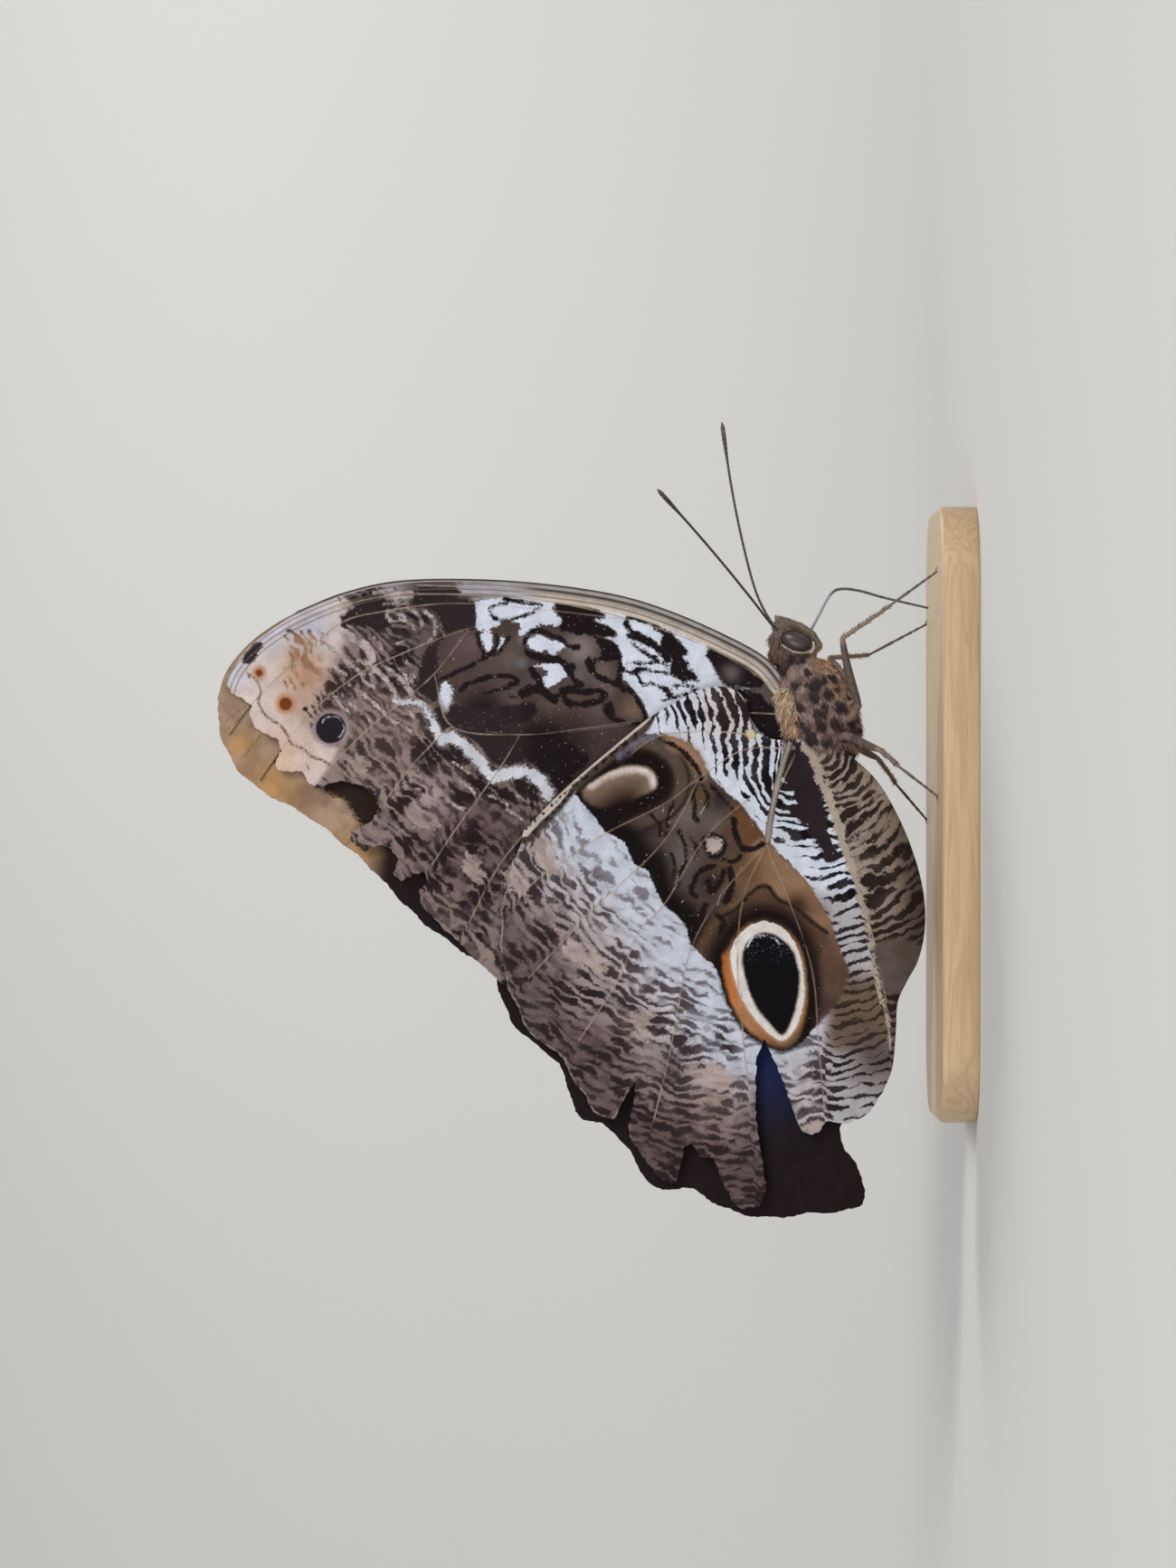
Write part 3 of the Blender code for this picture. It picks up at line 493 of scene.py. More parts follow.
def hindwing_fields(points):
    """Every number that the hindwing's underside is painted from."""
    u, v = points.T
    disc = depth_in(points, DISC_LEFT + DISC_RIGHT + DISC_TOP, smooth=False)
    band = off_line(points, curve(DISC_LEFT + [(868, 1158), (905, 1146), (940, 1150)], 6))
    anal = depth_in(points, FOLD_VEIN + [(1120, 1200), (1120, 800), (900, 800)], smooth=False)
    right = off_line(points, np.array(DISC_RIGHT[4:], float))
    basal = (disc < 0) & (anal < 0) & (band > right)
    basal = basal.astype(float) * ease(1012, 970, v - 0.4 * (u - 900))
    low = ease(985, 1010, v) * ease(905, 925, u) * (disc < 2)
    creamy = basal * near(points, (806, 784), 34)
    brown = low * ease(1062, 1095, v) * ease(1172, 1150, v)
    field = ease(-3, 3, anal)
    light = layered(
        points, WHITE, ((184, 176, 181), ease(30, 80, band)), ((140, 124, 123), ease(66, 124, band)),
        ((104, 89, 88), ease(112, 160, band)), ((154, 132, 122), near(points, (786, 1222), 34) * 0.8),
        *patches(points, OUTER_TINTS, 0.85), ((178, 172, 176), near(points, (897, 1195), 40)),
        ((118, 112, 118), near(points, (950, 1200), 26)), (SNOW, basal),
        ((190, 176, 172), 0.9 * creamy), ((172, 170, 176), low), ((104, 88, 76), brown),
        # painted shade: the light scales are darker in the lower inner corner near (972, 1168)
        ((92, 80, 77), near(points, (972, 1168), 34)), ((150, 137, 127), field),
        ((98, 86, 80), field * ease(985, 1080, v)),
        ((88, 76, 71), field * ease(974, 1012, u - 0.05 * (v - 900))))
    murk = near(points, (745, 1140), 48) + near(points, (700, 1102), 22) + near(points, (800, 1156), 22)
    # Painted shade in the lower inner corner: corner darkens the dark scales and adds to their share.
    corner = near(points, (910, 1195), 48)
    dark = layered(
        points, (122, 118, 128), ((74, 62, 66), ease(26, 70, band)), ((44, 32, 34), ease(66, 124, band)),
        ((54, 44, 47), murk), ((58, 49, 50), corner), ((17, 13, 17), basal), ((44, 34, 36), creamy),
        ((36, 29, 31), low), ((52, 40, 35), brown), ((42, 32, 30), field))
    fill = 0.20 + 0.22 * ease(8, 50, band) + 0.10 * ease(70, 130, band)
    fill = fill - 0.20 * near(points, (648, 1098), 26) + 0.22 * murk + 0.20 * corner
    fill = fill + (0.06 + 0.56 * ease(4, 32, right) - fill) * basal
    fill = fill + (0.42 - fill) * low
    fill = fill + (0.58 + 0.10 * ease(1040, 1120, v) - fill) * field
    reach = np.hypot(*(points - WING_ROOT).T)
    close = ease(280, 140, reach)[:, None] * (1 - field[:, None])
    inner = ease(-5, 5, u - 866 + 0.222 * (v - 822))[:, None]
    bent = np.array((66.0, 32.0)) * (1 - inner) + np.array((38.0, 0.0)) * inner
    centre = WING_ROOT + close * bent
    centre = centre + field[:, None] * (np.array((890.0, 815.0)) - centre)
    phase, along = ripples(points, centre, 10.4)
    phase = phase + vein_steps(points, VEINS_HIND, reach)
    phase = phase - 0.00093 * np.maximum(818 - v, 0) ** 2 * basal * (v < 818)
    crisp = np.clip(basal + 0.55 * field + low, 0, 1)
    style = np.column_stack([1.15 - 0.35 * crisp, 0.34 - 0.22 * crisp, 0.42 * (1 - crisp) + 0.12])
    dots = curve([(580, 912), (598, 896), (612, 883), (626, 870), (640, 857)], 6.5) + np.array((2.2, 3.2))
    return {
        "plan": np.column_stack([u / 100, v / 100, np.zeros(len(u))]),
        "stripe": np.column_stack([phase, along / 24, fill]), "style": style,
        "light": light, "dark": dark, "halo": layered(points, (172, 104, 54), *patches(points, HALO_TINTS)),
        "ground": layered(points, (76, 63, 57), *patches(points, DISC_TINTS)),
        "tan_colour": layered(points, (140, 110, 86), *patches(points, SURROUND)),
        "disc": disc, "band": band, "brow": off_line(points, curve(BROW, 4)),
        "tan": depth_in(points, TAN), "rust": depth_in(points, RUST),
        "eye": depth_in(points, EYE_HALO), "ring": depth_in(points, EYE_RING),
        "glow": 0.1 + 0.6 * ease(1022, 1070, v),
        "pupil": depth_in(points, EYE_PUPIL), "glint": off_line(points, curve(EYE_GLINT, 3)),
        "crack": off_line(points, curve(EYE_CRACK, 4)),
        "bean": depth_in(points, BEAN), "shine": off_line(points, curve(BEAN_SHINE, 4)),
        "bean_rust": depth_in(points, BEAN_RUST),
        "fold": off_line(points, curve(FOLD_VEIN, 6)) + 3.4 * ease(900, 1120, v),
        "main": off_line(points, curve(MAIN_VEIN, 5)),
        "edge": off_line(points, curve(COSTA_HIND[6:], 6)) + 4.4 * ease(616, 640, u)
        + 30 * ease(716, 742, u),
        "dots": 2.3 - np.min([np.hypot(u - a, v - b) for a, b in dots], axis=0),
        "gleam": strokes(points, [(3.2, (684, 836), (696, 827), (708, 819), (724, 812))]),
        "base": depth_in(points, BASE_PATCH), "anal": depth_in(points, ANAL_PATCH),
        "ink": strokes(points, DISC_LINES), "scratch": strokes(points, DISC_SCRATCHES),
        "spot": 8.2 - np.hypot(u - 789, v - 934), "node": 5.5 - np.hypot(u - 829, v - 812),
        "blotch": np.max([depth_in(points, b) for b in BLOTCHES_HIND], axis=0),
        "fringe": np.where((u < 700) & (v > 950), 0.0, 99.0),
    }


# %% [markdown]
# The forewing's underside has a pale worn tip with small spots, black and white blotches along
# the front edge, a grey cell full of dark squiggles, a white scalloped line and brown ripples
# outside it that follow the outer edge.

# %% Forewing markings
INK = [
    [(451, 668), (459, 655), (470, 649), (487, 651), (498, 648), (509, 655), (504, 661), (516, 663),
     (525, 668), (525, 694), (505, 698), (490, 704), (484, 722), (485, 748), (484, 776), (474, 772),
     (464, 766), (462, 752), (466, 736), (470, 720), (484, 706), (488, 690), (480, 676), (466, 670)],
    [(378, 690), (380, 680), (392, 672), (402, 665), (420, 662), (432, 664), (440, 672), (428, 680),
     (434, 690), (420, 696), (408, 694), (396, 692)],
    [(484, 776), (492, 792), (510, 796), (560, 806), (576, 812), (620, 818), (642, 830), (650, 840),
     (632, 860), (614, 878), (608, 858), (598, 846), (578, 842), (554, 848), (538, 834), (520, 818),
     (504, 806), (486, 804), (478, 790)],
    [(496, 780), (520, 782), (560, 780), (588, 776), (592, 788), (576, 798), (540, 800), (500, 796)],
    [(613, 662), (640, 667), (669, 678), (668, 683), (655, 686), (672, 693), (682, 701), (676, 704),
     (640, 701), (618, 696), (622, 686), (614, 674)],
    [(722, 691), (737, 697), (747, 703), (752, 710), (758, 716), (759, 723), (754, 728), (763, 732),
     (760, 738), (770, 746), (772, 754), (763, 754), (753, 753), (745, 748), (739, 743), (740, 736),
     (742, 730), (736, 722), (730, 714), (728, 706), (732, 702), (724, 697)],
    [(656, 703), (668, 705), (680, 711), (687, 722), (686, 731), (676, 730), (664, 731), (656, 736),
     (650, 732), (650, 727), (660, 727), (664, 720), (661, 711)],
    [(780, 720), (800, 721), (822, 736), (842, 752), (842, 760), (820, 760), (802, 757), (792, 745),
     (785, 733)],
    [(826, 762), (840, 768), (853, 782), (862, 800), (869, 815), (858, 818), (842, 812), (829, 797),
     (823, 778)],
    [(800, 762), (812, 760), (826, 764), (822, 776), (812, 772)],
    [(268, 734), (272, 720), (283, 710), (292, 712), (286, 722), (276, 734)],
    [(400, 866), (414, 874), (419, 890), (408, 900), (392, 884)]]
CHALK = [
    [(524, 664), (560, 661), (600, 661), (612, 664), (612, 674), (622, 686), (616, 692), (600, 690),
     (590, 696), (576, 702), (574, 690), (556, 686), (546, 694), (527, 695)],
    [(655, 667), (690, 678), (716, 684), (740, 694), (756, 702), (776, 707), (784, 728), (792, 746),
     (802, 760), (826, 764), (824, 780), (830, 798), (846, 814), (826, 806), (830, 830), (700, 830),
     (718, 794), (716, 788), (709, 774), (696, 757), (687, 745), (686, 724), (678, 710), (662, 703),
     (676, 703), (682, 700), (672, 692), (657, 685)],
    [(581, 710), (586, 705), (596, 702), (608, 706), (623, 711), (626, 716), (616, 720), (612, 727),
     (604, 720), (592, 720), (584, 716)],
    [(590, 736), (600, 733), (616, 732), (624, 737), (628, 747), (620, 751), (614, 757), (604, 761),
     (598, 752), (606, 746), (600, 740)],
    [(488, 756), (494, 754), (501, 762), (498, 772), (496, 782), (490, 778), (487, 768)],
    [(530, 702), (537, 699), (545, 702), (544, 711), (539, 721), (535, 714)],
    [(555, 704), (560, 706), (552, 718), (546, 723), (545, 718)]]
CELL_LINES = [
    (2.0, (486, 751), (496, 747), (506, 742), (516, 738), (525, 733), (534, 728), (543, 723), (550, 712),
     (548, 702)), (2.2, (562, 704), (559, 712), (551, 721), (543, 724)),
    (2.0, (528, 700), (529, 711), (535, 722)),
    (2.6, (510, 763), (515, 757), (531, 751), (551, 747), (570, 749), (572, 755), (562, 757)),
    (1.5, (535, 767), (551, 763), (565, 759)), (1.7, (565, 770), (572, 770)),
    (4.8, (577, 767), (584, 763), (596, 762), (604, 767), (613, 773)),
    (2.4, (588, 725), (582, 719), (580, 709), (586, 700), (594, 697), (608, 702), (623, 708), (628, 714),
     (639, 715)), (4.6, (590, 725), (600, 728), (612, 729)),
    (3.4, (612, 728), (622, 732), (628, 741), (635, 751), (643, 757)),
    (3.4, (643, 757), (632, 761), (622, 763)), (3.8, (588, 741), (594, 750), (598, 758)),
    (3.4, (632, 736), (633, 737)), (4.0, (651, 731), (655, 741)),
    (3.0, (655, 741), (663, 749), (673, 753), (682, 757), (690, 763)),
    (3.4, (622, 767), (631, 763), (647, 765), (663, 763), (668, 769), (663, 775), (647, 778), (631, 778),
     (624, 772)), (2.2, (684, 728), (686, 740), (684, 752), (688, 760)),
    (3.0, (675, 779), (671, 786), (675, 792), (684, 797), (694, 800), (705, 799)),
    (5.0, (672, 782), (676, 791)),
    (2.2, (684, 757), (694, 761), (702, 769), (708, 779), (712, 789), (714, 798)),
    (1.5, (560, 668), (548, 669), (541, 674), (544, 681), (551, 685), (561, 686)),
    (1.7, (571, 667), (584, 667), (596, 669), (590, 676), (578, 681), (566, 685)),
    (1.8, (558, 662), (574, 665), (588, 667), (600, 670)),
    (1.9, (691, 690), (694, 683), (702, 683), (712, 687), (726, 692)),
    (3.0, (692, 689), (698, 697), (706, 703), (712, 708), (718, 712)),
    (4.6, (708, 705), (716, 709), (724, 714), (732, 720), (738, 728)),
    (2.6, (696, 703), (703, 704), (710, 709)),
    (1.9, (700, 712), (708, 718), (716, 724), (724, 728), (730, 733)),
    (1.3, (694, 732), (706, 732), (718, 733), (730, 733), (737, 737)),
    (1.7, (687, 738), (692, 742), (698, 743)), (2.6, (697, 744), (704, 741)),
    (1.7, (704, 740), (712, 740), (723, 742), (731, 743), (739, 744)),
    (1.7, (704, 743), (707, 752), (712, 757), (719, 756), (726, 757), (733, 761), (737, 766), (742, 771),
     (733, 774)),
    (1.7, (742, 771), (750, 769), (758, 768), (766, 766), (769, 762), (761, 758), (751, 757), (745, 758),
     (748, 762)), (1.6, (730, 760), (742, 764)), (1.8, (720, 798), (736, 792), (748, 800))]
CELL_TINTS = [
    ((507, 718), 21, (100, 82, 82)), ((500, 738), 12, (96, 78, 70)), ((545, 740), 16, (102, 84, 78)),
    ((565, 728), 14, (112, 96, 90)), ((576, 733), 6, (124, 116, 124)), ((520, 712), 14, (110, 90, 92)),
    ((530, 759), 20, (98, 79, 74)), ((562, 772), 16, (124, 104, 100)), ((615, 788), 24, (138, 112, 102)),
    ((655, 790), 14, (130, 112, 112)), ((642, 717), 18, (144, 128, 126)), ((640, 747), 10, (124, 112, 110)),
    ((665, 743), 12, (126, 108, 104)), ((668, 761), 12, (112, 96, 94)), ((698, 783), 12, (132, 108, 92)),
    ((640, 820), 40, (80, 63, 60)), ((535, 790), 26, (38, 29, 32)), ((583, 706), 9, (150, 142, 144)),
    ((590, 752), 12, (98, 84, 82)), ((600, 830), 40, (24, 17, 18))]
TIP_STREAKS = [
    (4.6, (368, 692), (380, 700), (390, 705), (400, 711), (408, 718), (411, 727)),
    (2.2, (356, 704), (365, 712), (372, 720), (380, 728), (388, 735), (396, 741), (400, 744)),
    (2.0, (396, 730), (404, 732), (412, 735), (418, 740)), (1.3, (404, 744), (410, 747), (414, 748)),
    (2.3, (413, 740), (420, 744), (426, 750), (432, 758), (436, 764), (440, 771), (440, 779)),
    (2.0, (426, 738), (434, 742), (441, 748), (447, 755), (452, 762), (455, 768)),
    (1.1, (436, 728), (441, 738), (446, 744), (452, 750), (458, 757)),
    (1.0, (446, 724), (450, 732), (456, 742), (460, 750)), (1.6, (426, 678), (429, 684), (436, 688)),
    (1.9, (430, 675), (438, 677), (448, 682)), (2.0, (450, 673), (458, 676), (464, 682), (466, 690)),
    (1.6, (470, 676), (478, 682), (481, 690), (480, 702), (474, 708)),
    (1.2, (440, 686), (448, 686), (456, 692), (460, 700)), (1.2, (414, 705), (420, 711), (422, 718)),
    (1.8, (386, 757), (394, 763), (402, 768), (410, 774), (416, 780), (424, 787), (430, 793), (438, 800)),
    (1.3, (378, 768), (384, 775), (392, 781), (400, 787), (407, 794), (412, 798)),
    (1.3, (400, 750), (406, 755), (414, 760)), (1.2, (352, 722), (362, 730), (372, 738), (382, 746)),
    (1.1, (360, 760), (370, 770), (378, 780), (388, 790)), (2.2, (414, 656), (430, 654), (455, 655)),
    (1.6, (418, 661), (436, 659), (456, 660)), (1.1, (424, 667), (452, 667)),
    (1.0, (492, 703), (486, 690), (482, 684)), (1.0, (438, 712), (446, 709)),
    (1.2, (444, 800), (450, 806), (458, 812)), (1.4, (448, 784), (456, 790), (462, 798)),
    (1.2, (540, 878), (552, 884), (562, 890)), (1.4, (560, 896), (570, 900), (580, 908)),
    (1.2, (500, 842), (510, 848), (520, 856)), (1.3, (508, 862), (518, 870), (526, 878)),
    (1.1, (570, 878), (580, 884)), (1.2, (494, 884), (506, 892), (514, 894))]
FRONT_TINTS = [
    ((345, 860), 34, (120, 102, 97)), ((395, 722), 15, (78, 64, 62)), ((420, 645), 30, (160, 158, 168)),
    ((482, 652), 22, (64, 54, 56))]
EDGE_TINTS = [((400, 780), 60, (54, 42, 40)), ((400, 820), 50, (64, 50, 48))]
TIP_TINTS = [
    ((328, 715), 22, (184, 146, 114)), ((338, 748), 24, (178, 138, 110)), ((342, 782), 24, (172, 144, 128)),
    ((372, 788), 20, (124, 108, 105)), ((310, 836), 34, (200, 172, 156)), ((300, 690), 34, (188, 186, 198)),
    ((256, 745), 16, (192, 190, 202)), ((345, 690), 26, (182, 178, 188))]
SCALLOPS = [
    (2.4, (436, 771), (440, 779), (448, 776), (458, 775)),
    (3.2, (456, 776), (464, 778), (471, 785), (477, 795), (480, 804)),
    (3.6, (478, 797), (483, 808), (487, 818)),
    (5.4, (489, 819), (497, 814), (508, 820), (520, 830), (531, 842), (540, 855)),
    (6.3, (546, 859), (556, 856), (570, 854), (584, 853), (594, 860), (601, 869), (606, 878))]
WAVY_LINE = [
    (274, 744), (284, 752), (289, 764), (286, 774), (290, 786), (300, 796), (308, 800), (318, 812),
    (322, 822), (336, 828), (344, 836), (356, 840), (366, 846)]
HAIRLINE = [(492, 799), (505, 801), (530, 807), (575, 812), (620, 810), (700, 800)]
THREAD = [(824, 772), (827, 790), (836, 806), (847, 815), (858, 819)]
RUST_SPOTS = [((287, 744), 4.0), ((316, 778), 7.0)]
OCELLUS, OCELLUS_SIZE = (366, 805), 16.8
BLOTCHES_FORE = [
    [(384, 842), (398, 834), (410, 838), (408, 850), (392, 856)],
    [(452, 888), (462, 886), (470, 900), (484, 908), (484, 916), (462, 914), (450, 904)],
    [(514, 944), (524, 948), (536, 966), (532, 978), (520, 974), (512, 960)],
    [(556, 966), (566, 960), (574, 976), (568, 984), (558, 978)]]


def forewing_fields(points):
    """Every number that the forewing's underside is painted from."""
    u, v = points.T
    front = off_line(points, curve(COSTA_FORE + APEX_WHOLE[1:], 8))
    outer = ease(-34, 6, (v - 815) * 0.7 - (u - 520) * 0.55) * ease(660, 560, u)
    chalk = np.max([depth_in(points, loop) for loop in CHALK], axis=0)
    scallop = strokes(points, SCALLOPS)
    zebra = ease(-6, 10, (u - 742) + 0.25 * (v - 760)) * ease(752, 764, v) * ease(845, 825, u)
    limit = np.interp(v, [700, 735, 760, 790, 805, 818, 827, 850, 885, 960],
                      [385, 366, 353, 341, 347, 352, 374, 362, 338, 280])
    tip = ease(1, -1, (u - limit) / (16 - 11 * ease(805, 820, v)))
    streaked = ease(336, 372, u) * ease(470, 440, u - 0.3 * (v - 760))
    streaked = streaked * ease(-40, 30, 812 - v + 0.5 * (u - 400))
    deep = near(points, (530, 925), 84)
    strip = ease(2, 4, front) * ease(19, 15, front) * ease(500, 510, u) * ease(740, 700, u)
    veil = near(points, (440, 700), 30) + near(points, (446, 742), 18) + near(points, (404, 690), 18)
    veil = np.clip(veil, 0, 1) * ease(374, 384, u)
    worn = np.clip(tip + streaked * 0.6, 0, 1)
    light = layered(
        points, (84, 72, 67), *patches(points, FRONT_TINTS), ((140, 123, 117), outer),
        ((98, 82, 80), outer * deep), ((162, 144, 141), outer * near(points, (470, 876), 30)),
        ((134, 115, 111), streaked), ((162, 159, 168), strip), ((112, 98, 99), veil), ((204, 188, 184), tip),
        *[(tint, share * worn) for tint, share in patches(points, TIP_TINTS, 1.1)],
        (SNOW, ease(-8, 4, chalk)))
    dark = layered(
        points, (38, 27, 30), *patches(points, EDGE_TINTS), ((34, 26, 28), veil), ((16, 12, 16), zebra))
    under = ease(34, 12, -scallop) * outer
    fill = 0.45 + 0.34 * under + 0.20 * deep - 0.16 * near(points, (440, 940), 50)
    fill = fill * (outer > 0.05) * ease(0, 0.3, outer)
    fill = np.maximum(np.maximum(fill, 0.62 * streaked), 0.80 * veil)
    fill = fill * (1 - tip) * (1 - near(points, (345, 860), 24))
    faint = ease(308, 324, u) * ease(376, 350, u) * ease(692, 704, v) * ease(776, 748, v)
    dark, fill = blend(dark, (146, 110, 88), faint * tip), np.maximum(fill, 0.46 * faint)
    fill = np.where(chalk > -6, 0.52 * zebra, fill) - 0.9 * (fill < 0.04)
    basal = ease(560, 700, u)
    phase, along = ripples(points, np.array((885.0, 762.0)), 12.0)
    slant = ((v - u) * 0.66 + 0.0006 * (u - 560) ** 2 + 0.10 * (v - 900)) / 10.8
    phase, along = phase * basal + slant * (1 - basal), along * basal + (u + v) * 0.7 * (1 - basal)
    phase = phase + vein_steps(points, VEINS_FORE, np.hypot(u - 885, v - 762))
    cell = ease(468, 486, u) * ease(724, 712, u) * ease(22, 26, front) * (1 - ease(0.2, 0.6, outer))
    arcs = np.where(v - u < 445, np.abs(np.hypot(u - 368, v - 804) - 12.6), 9.0)
    return {
        "plan": np.column_stack([u / 100, v / 100, np.zeros(len(u))]),
        "stripe": np.column_stack([phase, along / 24, fill]),
        "style": np.column_stack([1.2 - 0.5 * zebra, 0.36 - 0.24 * zebra, 0.85 - 0.73 * zebra]),
        "light": light, "dark": dark, "front": front,
        "ground": layered(points, (84, 70, 66), *patches(points, CELL_TINTS)) * 0.84,
        "ink": np.max([depth_in(points, loop) for loop in INK], axis=0), "chalk": chalk, "cell": cell,
        "squiggle": strokes(points, CELL_LINES), "streak": strokes(points, TIP_STREAKS),
        "scallop": scallop, "wavy": off_line(points, curve(WAVY_LINE, 4)),
        "mauve": near(points, (808, 744), 9), "zebra_zone": zebra, "root": ease(560, 600, u),
        "rust": np.max([size - np.hypot(u - a, v - b) for (a, b), size in RUST_SPOTS], axis=0),
        "eyelet": OCELLUS_SIZE - np.hypot(u - OCELLUS[0], v - OCELLUS[1]), "eyelet_arc": arcs,
        "thread": off_line(points, curve(THREAD, 4)),
        "blotch": np.max([depth_in(points, b) for b in BLOTCHES_FORE], axis=0),
        "hairline": off_line(points, curve(HAIRLINE, 6)),
    }


FIELDS = {name: (forewing_fields if name.startswith("fore") else hindwing_fields)(plan[0])
          for name, plan in PLANS.items()}
print({name: len(fields) for name, fields in FIELDS.items()})

# %% [markdown]
# A finish in Blender is a chain of shader nodes. Written out, a painted wing takes a hundred of
# them, so a small class adds one node a call, and each mark becomes one coat over the last.

# %% A painter of materials


class Paint:
    """One material, painted coat by coat with shader nodes."""

    def __init__(self, name, roughness=0.8):
        self.material = bpy.data.materials.new(name)
        self.material.use_nodes = True
        self.tree = self.material.node_tree
        self.shader = self.tree.nodes["Principled BSDF"]
        self.shader.inputs["Roughness"].default_value = roughness
        self.colour, self.rag = None, None

    def node(self, kind, sockets=(), **settings):
        made = self.tree.nodes.new(kind)
        for key, value in settings.items():
            setattr(made, key, value)
        for key, value in dict(sockets).items():
            if isinstance(value, bpy.types.NodeSocket):
                self.tree.links.new(value, made.inputs[key])
            else:
                made.inputs[key].default_value = value
        return made

    def field(self, name, output="Fac"):
        return self.node("ShaderNodeAttribute", attribute_name=name).outputs[output]

    def math(self, operation, *values):
        return self.node("ShaderNodeMath", dict(enumerate(values)), operation=operation).outputs[0]

    def times(self, a, b, plus=None):
        """A product, with a third value added if one is given."""
        return self.math("MULTIPLY", a, b) if plus is None else self.math("MULTIPLY_ADD", a, b, plus)

    def less(self, a, b):
        """The first value less the second."""
        return self.math("SUBTRACT", a, b)

    def noise(self, where, scale, detail=2.0, distortion=0.0):
        sockets = {"Vector": where, "Scale": scale, "Detail": detail, "Distortion": distortion}
        return self.node("ShaderNodeTexNoise", sockets).outputs[0]

    def step(self, value, low, high):
        """0 below low, 1 above high, smooth between."""
        sockets = {0: value, 1: low, 2: high}
        return self.node("ShaderNodeMapRange", sockets, interpolation_type="SMOOTHSTEP").outputs[0]

    def ramp(self, value, low, high, stops):
        """A colour ramp with its stops at real values between low and high."""
        share = self.node("ShaderNodeMapRange", {0: value, 1: low, 2: high}).outputs[0]
        made = self.node("ShaderNodeValToRGB", {0: share})
        bar = made.color_ramp.elements
        while len(bar) < len(stops):
            bar.new(0.5)
        for element, (at, colour) in zip(bar, stops):
            element.position = (at - low) / (high - low)
            element.color = rgba(colour)
        return made.outputs[0]

    def mix(self, share, under, over):
        """Two colours mixed, each one plain or from other nodes."""
        under, over = (rgba(c) if isinstance(c, tuple) else c for c in (under, over))
        sockets = {0: share, 6: under, 7: over}
        return self.node("ShaderNodeMix", sockets, data_type="RGBA").outputs[2]

    def coat(self, mask, colour):
        """Lay a colour over what is painted so far."""
        self.colour = self.mix(mask, self.colour, colour)

    def inside(self, name, soft=1.2, grow=0.0, rag=1.0):
        """Where a drawn shape's depth is above zero, with an edge as ragged as scales."""
        depth = self.times(self.rag, rag, self.field(name))
        return self.step(self.math("ADD", depth, grow), -soft, soft)

    def along(self, name, half, soft=0.8, rag=0.3):
        """A band of some half width about a drawn line."""
        away = self.times(self.rag, rag, self.field(name))
        return self.step(away, half + soft, half - soft)

    def mark(self, name, colour, *edge, **more):
        """Coat a drawn shape with a colour."""
        self.coat(self.inside(name, *edge, **more), colour)

    def line(self, name, colour, *edge):
        """Coat a drawn line with a colour."""
        self.coat(self.along(name, *edge), colour)

    def brighten(self, value):
        """Scale how bright the paint is so far."""
        sockets = {"Color": self.colour, "Value": value}
        self.colour = self.node("ShaderNodeHueSaturation", sockets).outputs[0]

    def speckle(self, where, scale, amount):
        """Scale-sized flecks, a little lighter and darker than the paint."""
        fleck = self.noise(where, scale, 1.0)
        self.brighten(self.times(fleck, amount * 2, 1 - amount))
        return fleck

    def finish(self, height, distance):
        """Set colour and relief on the shader."""
        self.tree.links.new(self.colour, self.shader.inputs["Base Color"])
        sockets = {"Height": height, "Strength": 1.0, "Distance": distance}
        bump = self.node("ShaderNodeBump", sockets)
        self.tree.links.new(bump.outputs[0], self.shader.inputs["Normal"])
        return self.material


print("painter ready")

# %% Scales, ripples and ragged edges


